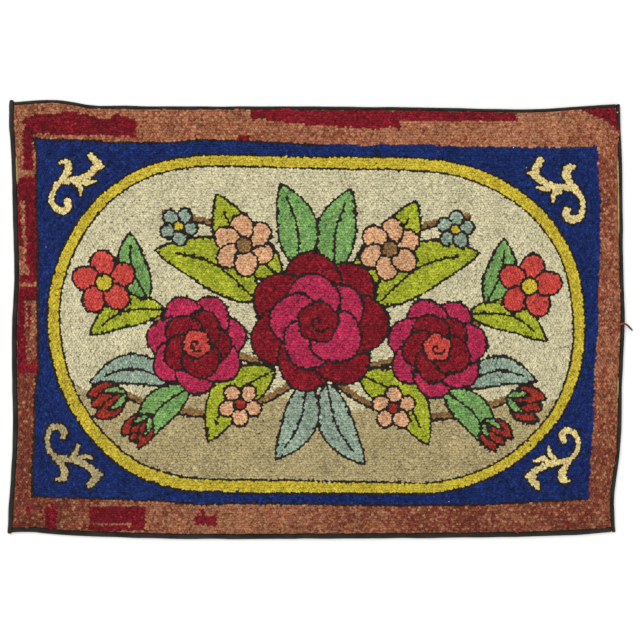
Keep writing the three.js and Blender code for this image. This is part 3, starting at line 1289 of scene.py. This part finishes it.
def wool_material(name, yarn, dye):
    """Yarn of one dye with a few fibres of two others; the tone attribute varies it from loop to loop."""
    material = new_material(f"{name}_wool")
    tree = material.node_tree
    tone = attribute(tree, "tone", "Color")
    second = dict(Deep=(*yarn.deep, 1.0), Pale=(*yarn.pale, 1.0), Heather=FIBRE_HEATHER * yarn.heather)
    wool = use_group(tree, wool_group(), Dye=(*dye, 1.0), Tone=tone, **second)
    return finish_material(material, wool["Colour"], wool["Roughness"], wool["Height"], 0.5 * MM, 0.04)


@functools.lru_cache
def weave_group():
    """Plain weave: threads over and under each other, on a flat pair of coordinates."""
    tree, given, out = group(
        "Plain Weave",
        (("Across", FLOAT), ("Along", FLOAT), ("Threads", FLOAT)),
        (("Height", FLOAT), ("Thread", FLOAT)),
    )
    across = times(tree, given["Across"], given["Threads"])
    along = times(tree, given["Along"], given["Threads"])
    warp = maths(tree, "ABSOLUTE", maths(tree, "SINE", times(tree, across, math.pi)))
    weft = maths(tree, "ABSOLUTE", maths(tree, "SINE", times(tree, along, math.pi)))
    turn = plus(tree, maths(tree, "FLOOR", across), maths(tree, "FLOOR", along))
    over = maths(tree, "MODULO", maths(tree, "ABSOLUTE", turn), 2.0)
    swap = maths(tree, "SUBTRACT", 1.0, over)
    height = plus(tree, times(tree, warp, over), times(tree, weft, swap))
    tree.links.new(height, out["Height"])
    tree.links.new(times(tree, warp, weft), out["Thread"])
    return tree


def burlap_material():
    """Tan jute threads, uneven in colour."""
    material = new_material("burlap")
    tree = material.node_tree
    place = object_place(tree)
    split = parts(tree, place)
    weave = use_group(tree, weave_group(), Across=split[0], Along=split[1], Threads=480.0)
    slub = noise(tree, place, 260.0, 4.0)
    # painted shade in the gaps between the jute threads
    thread_gap_shade = ranged(tree, weave["Thread"], 0.0, 0.6, 0.6, 1.0)
    shade = times(tree, ranged(tree, slub, 0.3, 0.7, 0.75, 1.1), thread_gap_shade)
    jute = mixed(tree, "MIX", slub, paint(206, 166, 104), paint(236, 204, 146))
    colour = mixed(tree, "MULTIPLY", 1.0, jute, shade)
    rough = ranged(tree, slub, 0.2, 0.8, 0.8, 0.95)
    return finish_material(material, colour, rough, weave["Height"], 0.4 * MM, 0.0)


def back_material():
    """The rug's back: short flat rows of yarn caught between burlap threads, coloured as the loops above."""
    material = new_material("hooked_back")
    tree = material.node_tree
    place = object_place(tree)
    dye = attribute(tree, "back", "Color")
    rows = node(
        tree,
        "ShaderNodeTexBrick",
        {"offset": 0.5},
        {
            "Vector": place,
            "Color1": (0.75, 0.75, 0.75, 1.0),
            "Color2": (1.0, 1.0, 1.0, 1.0),
            "Mortar": (0.6, 0.6, 0.6, 1.0),
            "Scale": 100.0,
            "Brick Width": 0.46,
            "Row Height": 0.24,
            "Mortar Size": 0.045,
            "Mortar Smooth": 0.7,
        },
    ).outputs
    fibre = noise(tree, place, 900.0, 4.0)
    yarn = mixed(tree, "MULTIPLY", 1.0, dye, ranged(tree, fibre, 0.2, 0.8, 0.6, 1.15))
    # the rows differ a little in lightness; the darker mortar is painted shade in the gaps between the rows,
    # where darker burlap shows
    yarn = mixed(tree, "MULTIPLY", 1.0, yarn, rows["Color"])
    colour = mixed(tree, "MIX", times(tree, rows["Fac"], 0.45), yarn, paint(120, 98, 66))
    rough = ranged(tree, fibre, 0.2, 0.8, 0.98, 0.82)
    height = maths(tree, "SUBTRACT", times(tree, fibre, 0.4), rows["Fac"])
    return finish_material(material, colour, rough, height, 0.6 * MM, 0.05)


TWILL_RIB = 1.1 * MM  # from one slanting rib to the next


def tape_material():
    """Charcoal cotton twill, rubbed paler along its creases."""
    material = new_material("charcoal_twill")
    tree = material.node_tree
    flat = node(tree, "ShaderNodeUVMap", {"uv_map": "tape"}).outputs["UV"]
    split = parts(tree, flat)
    place = object_place(tree)
    slant = plus(tree, split[0], split[1])
    rib = maths(tree, "SINE", times(tree, slant, 2 * math.pi / TWILL_RIB))
    fade = noise(tree, place, 34.0, 5.0)
    lint = noise(tree, place, 900.0, 3.0)
    wear = attribute(tree, "wear", "Fac")
    worn = times(tree, wear, ranged(tree, fade, 0.35, 0.65, 0.35, 1.0))
    faded = ranged(tree, fade, 0.35, 0.7, 0.0, 1.0)
    cloth = mixed(tree, "MIX", faded, paint(20, 18, 16), paint(34, 31, 28))
    cloth = mixed(tree, "MIX", worn, cloth, paint(62, 57, 51))
    linty = ranged(tree, lint, 0.3, 0.7, 0.85, 1.1)
    shade = times(tree, ranged(tree, rib, -1.0, 1.0, 0.82, 1.08), linty)
    colour = mixed(tree, "MULTIPLY", 1.0, cloth, shade)
    height = plus(tree, times(tree, rib, 0.5), lint)
    rough = ranged(tree, lint, 0.2, 0.8, 0.92, 0.78)
    return finish_material(material, colour, rough, height, 0.15 * MM, 0.0)


def thread_material():
    """Waxed black sewing thread."""
    material = new_material("black_thread")
    tree = material.node_tree
    place = object_place(tree)
    lint = noise(tree, place, 1600.0, 3.0)
    colour = mixed(tree, "MIX", lint, paint(18, 17, 16), paint(58, 54, 48))
    rough = ranged(tree, lint, 0.2, 0.8, 0.7, 0.5)
    return finish_material(material, colour, rough, lint, 0.1 * MM, 0.0)


# Operators: the stage first, then the pieces from the loose end to the sewing

FLOOR_SIZE = 14.0
KEY_PLACE = (-1.3, 1.5, 2.6)
KEY_SIZE = 1.6
SENSOR = 36.0
CAMERA_SHIFT = (6.2 * MM, -0.8 * MM)  # the photo's frame is four pixels off the rug's middle
CAMERA_END = 100.0


class RUG_OT_stage(bpy.types.Operator):
    """Sets up the pale floor, the soft light and the camera above the rug"""

    bl_idname = "rug.stage"
    bl_label = "Set the Stage"

    def execute(self, context):
        stage = context.scene.rug_stage
        start_piece()
        bpy.ops.mesh.primitive_grid_add(x_subdivisions=4, y_subdivisions=4, size=FLOOR_SIZE)
        floor = context.object
        floor.name = "floor"
        material = new_material("pale_floor")
        shader = material.node_tree.nodes["Principled BSDF"]
        shader.inputs["Base Color"].default_value = (*stage.floor, 1.0)
        shader.inputs["Roughness"].default_value = 0.9
        shader.inputs["Specular IOR Level"].default_value = 0.1
        floor.data.materials.append(material)

        world = bpy.data.worlds.new("studio")
        world.use_nodes = True
        world.node_tree.nodes["Background"].inputs["Color"].default_value = (1.0, 1.0, 1.0, 1.0)
        world.node_tree.nodes["Background"].inputs["Strength"].default_value = stage.sky
        context.scene.world = world
        start_piece()
        bpy.ops.object.light_add(type="AREA", location=KEY_PLACE)
        key = context.object
        key.name = "key_light"
        key.data.size = KEY_SIZE
        key.data.energy = stage.key
        aim = -key.location
        key.rotation_euler = aim.to_track_quat("-Z", "Y").to_euler()

        high = stage.frame_width * stage.lens / SENSOR
        bpy.ops.object.camera_add(location=(*CAMERA_SHIFT, high), rotation=(0.0, 0.0, 0.0))
        camera = context.object
        camera.data.lens = stage.lens
        camera.data.sensor_width = SENSOR
        camera.data.clip_end = CAMERA_END
        context.scene.camera = camera
        context.scene.view_settings.view_transform = "Standard"
        return {"FINISHED"}


# Places along the middle of the loose end: right, up the rug and above the floor
LOOSE_END_ROUTE = (
    (468.0, -9.0, 10.85),
    (472.5, -7.6, 10.85),
    (477.0, -6.6, 10.6),
    (481.5, -6.6, 9.4),
    (485.5, -8.6, 7.2),
    (489.0, -11.6, 4.6),
    (492.2, -14.6, 2.6),
    (495.2, -17.6, 1.8),
)
LOOSE_END_DIAMETER = 3.0
LOOSE_END_DYE = dyed(134, 60, 50)
# Thickness and tone, each after its share of the length
LOOSE_END_SWELL = ((0.0, 1.15), (0.7, 1.15), (1.0, 0.9))
LOOSE_END_TONE = ((0.0, 1.3), (0.3, 1.5), (0.5, 0.9), (0.6, 0.75), (1.0, 0.75))
LOOSE_END_STEP = 1.2
PLIES = 3
PLY_TURNS = 4.5
PLY_SHARE = 0.27  # a ply's radius as a share of the end's diameter
PLY_TIP, PLY_TAPER = 0.35, 6.0  # how thin a ply begins, and how fast it swells
PLY_CELLS = (44, 7)


class RUG_OT_loose_end(bpy.types.Operator):
    """Lays the loose yarn end over the binding, twisted from three plies"""

    bl_idname = "rug.loose_end"
    bl_label = "Lay the Loose End"

    def execute(self, context):
        route = smooth(LOOSE_END_ROUTE, step=LOOSE_END_STEP)
        ahead = np.gradient(route, axis=0)
        ahead /= np.linalg.norm(ahead, axis=1, keepdims=True)
        across = np.cross(ahead, (0.0, 0.0, 1.0))
        across /= np.linalg.norm(across, axis=1, keepdims=True)
        up = np.cross(across, ahead)
        ply_radius = PLY_SHARE * LOOSE_END_DIAMETER
        spread = 0.5 * LOOSE_END_DIAMETER - ply_radius
        stations = np.linspace(0.0, 1.0, len(route))

        def ply(shift):
            def place(u, v):
                def along(values):
                    return np.stack([np.interp(u, stations, values[:, k]) for k in range(3)], axis=1)

                centre, side, rise = along(route), along(across), along(up)
                turn = (2 * np.pi * (PLY_TURNS * u + shift))[:, None]
                bend = (2 * np.pi * v)[:, None] + turn
                tuft = np.interp(u, *zip(*LOOSE_END_SWELL))[:, None]
                swell = tuft * (np.minimum(1.0, PLY_TIP + PLY_TAPER * np.minimum(u, 1 - u)))[:, None]
                middle = centre + tuft * spread * (np.cos(turn) * side + np.sin(turn) * rise)
                return middle + swell * ply_radius * (np.cos(bend) * side + np.sin(bend) * rise)

            return place

        plies = [shaped_grid(*PLY_CELLS, ply(k / PLIES), wrap=True) for k in range(PLIES)]
        bpy.ops.object.select_all(action="DESELECT")
        for strand in plies:
            strand.select_set(True)
        bpy.ops.object.join()
        end = keep_piece(context.object, "loose_end")
        bpy.ops.object.shade_smooth()
        end.data.uv_layers[0].name = "yarn"
        out = np.array([vertex.co.x for vertex in end.data.vertices]) / MM
        share = np.clip((out - route[0, 0]) / (route[-1, 0] - route[0, 0]), 0.0, 1.0)
        give_colours(end, "tone", np.repeat(np.interp(share, *zip(*LOOSE_END_TONE))[:, None], 3, axis=1))
        end.data.materials.clear()
        end.data.materials.append(wool_material("loose_end", YARNS["rust"], LOOSE_END_DYE))
        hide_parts("loose_yarn_end")
        return {"FINISHED"}


BURLAP_CELLS = (200, 142)
BURLAP_RIM = 2.5  # width of its outermost cells
BURLAP_FLOOR = 0.25  # height of its underside in the middle
HEM_REST = 0.2  # height above the hem, where it lies on that
HEM_COVER = 22.5  # how far in that is
HEM_EASE = 7.0  # width of the slope down to the middle
OUTERMOST = 0.499  # beyond this from the middle, as a share of the width, lies the last line of the grid


class RUG_OT_foundation(bpy.types.Operator):
    """Lays the burlap, stepped up over the hems, with the rows of yarn showing on its back"""

    bl_idname = "rug.foundation"
    bl_label = "Lay the Burlap"

    def execute(self, context):
        side = edges()
        size = sizes()
        thick = size.burlap / MM
        hem_top = side["left"].heights[1]
        columns, rows = BURLAP_CELLS

        def place(u, v):
            x, y = np.zeros_like(u), np.zeros_like(v)
            for _ in range(3):
                left, right = side["left"].foot_at(y), side["right"].foot_at(y)
                low, high = side["bottom"].foot_at(x), side["top"].foot_at(x)
                x = -left + crowded(u, columns, left + right) * (left + right)
                y = -low + crowded(v, rows, low + high) * (low + high)
            inset = np.clip((rim_distance(x, y) - HEM_COVER) / HEM_EASE, 0.0, 1.0)
            step = (hem_top + HEM_REST) * (1 - inset**2 * (3 - 2 * inset)) + BURLAP_FLOOR * inset
            shows = np.where(u > 0.5, bare_width("right", y), bare_width("left", y)) / BARE_WIDTH
            lift = BARE_LIFT * shows * (np.abs(u - 0.5) > OUTERMOST)
            return np.stack([x, y, step + thick + lift], axis=1)

        def crowded(share, cells, span):
            """Brings a grid's outermost lines close to the rim."""
            rim = BURLAP_RIM / span.mean()
            return np.interp(share, (0.0, 1 / cells, 1 - 1 / cells, 1.0), (0.0, rim, 1 - rim, 1.0))

        burlap = shaped_grid(columns, rows, place)
        loops = hooked()
        nearest = KDTree(len(loops.x))
        for number, place_of_loop in enumerate(zip(loops.x * MM, loops.y * MM)):
            nearest.insert((*place_of_loop, 0.0), number)
        nearest.balance()
        above = [nearest.find((vertex.co.x, vertex.co.y, 0.0))[1] for vertex in burlap.data.vertices]
        dyes = np.array([tuple(getattr(context.scene.rug_yarns, name)) for name in YARN_NAMES])
        shown = dyes[loops.yarn[above].astype(int)]
        give_colours(burlap, "back", shown)
        wall = burlap.modifiers.new("thickness", "SOLIDIFY")
        wall.thickness = size.burlap
        wall.offset = -1.0
        bpy.ops.object.modifier_apply(modifier=wall.name)
        burlap.data.materials.append(burlap_material())
        burlap.data.materials.append(back_material())
        for face in burlap.data.polygons:
            face.material_index = int(face.normal.z < -0.5)
        bpy.ops.object.shade_smooth_by_angle(angle=math.radians(40))
        keep_piece(burlap, "burlap")
        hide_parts("rug_body")
        return {"FINISHED"}


# How loops differ, in millimetres or as shares of a usual loop
TOP_SPREAD = 0.3
LENGTH_SPREAD, LENGTH_LIMITS = 0.09, (0.75, 1.25)
WIDTH_SPREAD, WIDTH_LIMITS = 0.08, (0.8, 1.2)
LEAN_SPREAD = 0.45
LEAN_DEPTH = 8.0  # this far below its top a leaning loop stands upright
RIM_DROP, RIM_DROP_WIDTH = 1.6, 6.0  # the pile is rounded down towards the tape
RIM_RISE, RIM_RISE_MOST = 1.8, 0.8  # its last row rises against the tape
TAPE_LIFT, TAPE_LIFT_WIDTH = 1.2, 1.5  # and higher still where it lies over the tape
WISP_LIFT = 0.8


class RUG_OT_pile(bpy.types.Operator):
    """Hooks the pile, one piece for each yarn"""

    bl_idname = "rug.pile"
    bl_label = "Hook the Pile"

    def execute(self, context):
        loops = hooked()
        shape = model_loop()
        for number, name in enumerate(YARN_NAMES):
            chosen = loops.yarn == number
            if chosen.any():
                self.hook(context, name, Loops(*(column[chosen] for column in loops)), shape)
        return {"FINISHED"}

    def hook(self, context, name, loops, shape):
        rng = np.random.default_rng(SEED + 100 + NUMBER[name])
        count = len(loops.x)
        rim = rim_distance(loops.x, loops.y)
        wisp = loops.fat == WISP_SIZE
        top = sizes().pile_top / MM + rng.normal(0.0, TOP_SPREAD, count)
        top -= RIM_DROP * np.clip(1 - rim / RIM_DROP_WIDTH, 0.0, 1.0) ** 2
        top += RIM_RISE * np.clip(1 - rim / RIM_INSET, 0.0, RIM_RISE_MOST)
        top += TAPE_LIFT * np.clip(-rim / TAPE_LIFT_WIDTH, 0.0, 1.0)
        top += WISP_LIFT * wisp
        long = rng.normal(1.0, LENGTH_SPREAD, count).clip(*LENGTH_LIMITS)
        long[wisp] = WISP_SIZE
        wide = loops.fat * rng.normal(1.0, WIDTH_SPREAD, count).clip(*WIDTH_LIMITS)
        lean = rng.normal(0.0, LEAN_SPREAD, (count, 2))
        local = np.repeat(shape.points[None], count, axis=0)
        local[:, :, 0] *= long[:, None]
        local[:, :, 1] *= wide[:, None]
        rise = np.where(shape.feet, LOOP_FOOT - top[:, None], local[:, :, 2])
        cos, sin = np.cos(loops.turn)[:, None], np.sin(loops.turn)[:, None]
        tilt = np.clip(1 + rise / LEAN_DEPTH, 0.0, 1.0)
        x = loops.x[:, None] + cos * local[:, :, 0] - sin * local[:, :, 1] + tilt * lean[:, :1]
        y = loops.y[:, None] + sin * local[:, :, 0] + cos * local[:, :, 1] + tilt * lean[:, 1:]
        z = top[:, None] + rise
        x, y = behind_tape(x, y, z)
        piece = copied_mesh(f"pile_{name}", np.stack([x, y, z], axis=-1) * MM, shape.faces)
        self.map_loops(piece.data, count, shape.flat)
        give_colours(piece, "tone", np.repeat(loop_tones(loops, name, rng), len(shape.points), axis=0))
        piece.data.materials.append(wool_material(name, YARNS[name], getattr(context.scene.rug_yarns, name)))
        keep_piece(piece, f"pile_{name}")

    def map_loops(self, mesh, count, flat):
        """A map that every loop shares, for its plies, and one where each loop has a cell of its own."""
        mesh.uv_layers.new(name="yarn").data.foreach_set("uv", np.tile(flat, (count, 1)).ravel())
        cells = math.ceil(math.sqrt(count))
        cell = np.stack([np.arange(count) % cells, np.arange(count) // cells], axis=1)
        spread = (cell[:, None, :] + CELL_EDGE + (1 - 2 * CELL_EDGE) * flat[None]) / cells
        mesh.uv_layers.new(name="OFBake").data.foreach_set("uv", spread.ravel())


TAPE_SECTION = (
    # hem is the distance under the rug, share the place across the showing width
    dict(hem=21.6, z=0.3, wear=0.2),
    dict(hem=11.0, z=0.25, wear=0.1),
    dict(hem=0.4, z=0.25, wear=0.1),
    dict(share=0.05, z=0.25, wear=0.1),
    dict(share=0.55, z=0.2, wear=0.2),
    dict(share=0.86, z=0.3, wear=0.4),
    dict(share=0.97, z=1.1, wear=0.6),
    dict(share=1.0, z=2.3, wear=0.5),
    dict(share=1.0, z=3.5, wear=0.3),
    dict(share=0.96, z=4.7, wear=0.3),
    dict(share=0.87, z=5.6, wear=0.5),
    dict(share=0.74, z=6.2, wear=0.8),
    dict(share=0.62, z=6.35, wear=0.7),
    dict(share=0.53, z=6.1, wear=0.1),
    dict(share=0.45, z=6.3, wear=0.4),
    dict(share=0.3, z=6.55, wear=0.5),
    dict(share=0.12, z=6.4, wear=0.2),
    dict(share=0.02, z=5.9, wear=0.0),
    dict(share=0.02, z=1.5, wear=0.0),
    dict(hem=0.4, z=1.3, wear=0.0),
    dict(hem=11.0, z=1.3, wear=0.0),
    dict(hem=21.5, z=1.2, wear=0.1),
)
TAPE_STEP = 7.0
TAPE_FACE = 4.0  # what lies higher is the tape's face
TAPE_SIDE_WEAR = 0.3
HEM_DEPTH = 22.0
TAPE_SWAY, TAPE_SWAY_MOST = Wave(0.35, 70.0, 300), 0.2
TAPE_RIPPLE, RIPPLE_SLANT = Wave(0.22, 26.0, 310), 6.0
PUCKER_DEPTH, PUCKER_SHARE = 0.3, 0.35


class TapeEnd(NamedTuple):
    """How a tape is folded at one end, in millimetres; a plain end butts against the next tape."""

    reach: float = 0.0  # how far it stands past the corner
    rounding: float = 0.1  # how far its edges are drawn back
    bulge: float = 0.0  # how far the fold swells outwards

    BULGE_LENGTH = 6.0

    def knob(self, away):
        return self.bulge * np.exp(-((away / self.BULGE_LENGTH) ** 2))


TAPE_ENDS = {
    "left": (TapeEnd(1.3, 2.4, 1.5), TapeEnd(1.8, 2.6, 0.4)),
    "right": (TapeEnd(0.2, 1.8, 1.2), TapeEnd(0.3, 0.8, 0.0)),
}


class RUG_OT_binding(bpy.types.Operator):
    """Sews a length of tape over each edge, creased, puckered and rubbed"""

    bl_idname = "rug.binding"
    bl_label = "Bind the Edges"

    def execute(self, context):
        cloth = tape_material()
        for number, (side, edge) in enumerate(edges().items()):
            self.bind(side, edge, cloth, number)
        return {"FINISHED"}

    def bind(self, side, edge, cloth, number):
        section = (*TAPE_SECTION, TAPE_SECTION[0])
        rows = len(section)
        low, high = edge.at[0], edge.at[-1]
        shares = np.array([row.get("share", 0.0) for row in section])
        hems = np.array([row.get("hem", -1.0) for row in section])
        levels = np.array([row["z"] for row in section])
        first, last = TAPE_ENDS.get(side, (TapeEnd(), TapeEnd()))

        def place(u, v):
            row = np.rint(v * (rows - 1)).astype(int)
            share, hem, z = shares[row], hems[row], levels[row]
            mitre = HEM_DEPTH - np.maximum(hem, 0.0)
            bow = (2 * share - 1) ** 4
            start = np.where(hem >= 0, edge.hem[0] - mitre, low - first.reach + first.rounding * bow)
            end = np.where(hem >= 0, edge.hem[1] + mitre, high + last.reach - last.rounding * bow)
            at = start + u * (end - start)
            foot, outer = edge.foot_at(at), edge.outer_at(at)
            sway = np.minimum(TAPE_SWAY.at(at, np.zeros_like(at), number) * share, TAPE_SWAY_MOST)
            sway += share * (first.knob(at - low) + last.knob(high - at))
            out = np.where(hem >= 0, foot - hem, foot + share * (outer - foot) + sway)
            pucker = 0.5 + 0.5 * np.cos(2 * np.pi * at / (sizes().stitch_gap / MM))
            ripple = TAPE_RIPPLE.at(at, RIPPLE_SLANT * share, number)
            ripple -= PUCKER_DEPTH * pucker * (share < PUCKER_SHARE)
            z = z + np.where(z > TAPE_FACE, ripple, 0.0)
            return edge.place(at, out, z)

        count = math.ceil((high - low) / TAPE_STEP)
        tape = shaped_grid(count, rows - 1, place, wrap=True)
        self.map_tape(tape, edge, section)
        tape.data.materials.append(cloth)
        bpy.ops.object.shade_smooth_by_angle(angle=math.radians(50))
        keep_piece(tape, f"tape_{side}")
        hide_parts(edge.node)

    def map_tape(self, tape, edge, section):
        """Lays the cloth's own coordinates along the tape, and marks where it is rubbed."""
        mesh = tape.data
        points = np.array([vertex.co for vertex in mesh.vertices])
        along = points[:, edge.axis]
        out = edge.sign * points[:, 1 - edge.axis]
        flat = np.stack([along, out + points[:, 2]], axis=1)
        corners = np.empty(len(mesh.loops), np.int32)
        mesh.loops.foreach_get("vertex_index", corners)
        while mesh.uv_layers:
            mesh.uv_layers.remove(mesh.uv_layers[0])
        mesh.uv_layers.new(name="tape").data.foreach_set("uv", flat[corners].ravel())
        foot = edge.foot_at(along / MM)
        share = (out / MM - foot) / (edge.outer_at(along / MM) - foot)
        rubbed = [(row["share"], row["wear"]) for row in section if "share" in row and row["z"] > TAPE_FACE]
        places, wear = np.array(sorted(rubbed)).T
        amount = np.where(points[:, 2] > TAPE_FACE * MM, np.interp(share, places, wear), TAPE_SIDE_WEAR)
        worn = mesh.attributes.new("wear", "FLOAT", "POINT")
        worn.data.foreach_set("value", amount.astype(np.float32))


STITCH_LENGTH = 4.2
STITCH_ARCH = 0.5
STITCH_INSET = 22.4
STITCH_FLOOR = 0.02
STITCH_MARGIN = 4.0  # bare length at each end of a hem
STITCH_SLANTS = (0.9, 0.65)  # on sides along X and along Y


class RUG_OT_stitches(bpy.types.Operator):
    """Whips the hems down to the burlap with slanting stitches"""

    bl_idname = "rug.stitches"
    bl_label = "Sew the Hems"

    def execute(self, context):
        size = sizes()
        gap, thread = size.stitch_gap / MM, size.thread / MM
        start_piece()
        bpy.ops.mesh.primitive_cylinder_add(
            vertices=5, radius=0.5 * thread * MM, depth=STITCH_LENGTH * MM, rotation=(0.0, math.pi / 2, 0.0)
        )
        bpy.ops.object.transform_apply(location=True, rotation=True, scale=True)
        bpy.ops.object.mode_set(mode="EDIT")
        bpy.ops.mesh.bisect(plane_co=(0.0, 0.0, 0.0), plane_no=(1.0, 0.0, 0.0))
        bpy.ops.object.mode_set(mode="OBJECT")
        shape, faces = modelled()
        shape /= MM
        shape[:, 2] += 0.5 * thread + STITCH_ARCH * (shape[:, 0] / (0.5 * STITCH_LENGTH)) ** 2
        copies = []
        for edge in edges().values():
            at = np.arange(edge.hem[0] + STITCH_MARGIN, edge.hem[1] - STITCH_MARGIN, gap)
            centre = edge.place(at, edge.foot_at(at) - STITCH_INSET, STITCH_FLOOR)
            slant = STITCH_SLANTS[edge.axis] * edge.sign
            cos, sin = math.cos(slant), math.sin(slant)
            turned = shape @ np.array([[cos, sin, 0.0], [-sin, cos, 0.0], [0.0, 0.0, 1.0]])
            copies.append(centre[:, None, :] + turned[None])
        piece = copied_mesh("hem_stitches", np.concatenate(copies) * MM, faces)
        piece.data.materials.append(thread_material())
        keep_piece(piece, "hem_stitches")
        return {"FINISHED"}


class RUG_PT_panel(bpy.types.Panel):
    """Lists the rug's sizes, colours and making steps"""

    bl_idname = "RUG_PT_panel"
    bl_label = "Hooked Rug"
    bl_space_type = "VIEW_3D"
    bl_region_type = "UI"
    bl_category = "Rug"

    def draw(self, context):
        layout = self.layout
        for group_name in ("rug_sizes", "rug_yarns", "rug_stage"):
            settings = getattr(context.scene, group_name)
            column = layout.column(align=True)
            for name in settings.__annotations__:
                column.prop(settings, name)
        for step in STEPS:
            layout.operator(step.bl_idname)


STEPS = (
    RUG_OT_stage,
    RUG_OT_loose_end,
    RUG_OT_foundation,
    RUG_OT_pile,
    RUG_OT_binding,
    RUG_OT_stitches,
)
CLASSES = (RugYarns, RugSizes, RugStage, *STEPS, RUG_PT_panel)


def register():
    for each in CLASSES:
        bpy.utils.register_class(each)
    bpy.types.Scene.rug_yarns = bpy.props.PointerProperty(type=RugYarns)
    bpy.types.Scene.rug_sizes = bpy.props.PointerProperty(type=RugSizes)
    bpy.types.Scene.rug_stage = bpy.props.PointerProperty(type=RugStage)


def unregister():
    del bpy.types.Scene.rug_yarns
    del bpy.types.Scene.rug_sizes
    del bpy.types.Scene.rug_stage
    for each in reversed(CLASSES):
        bpy.utils.unregister_class(each)


def declare_cloth():
    """Reads the rug's edges."""
    side = edges()


def main():
    register()
    for step in STEPS:
        area, name = step.bl_idname.split(".")
        getattr(getattr(bpy.ops, area), name)()
    declare_cloth()


if __name__ == "__main__":
    main()
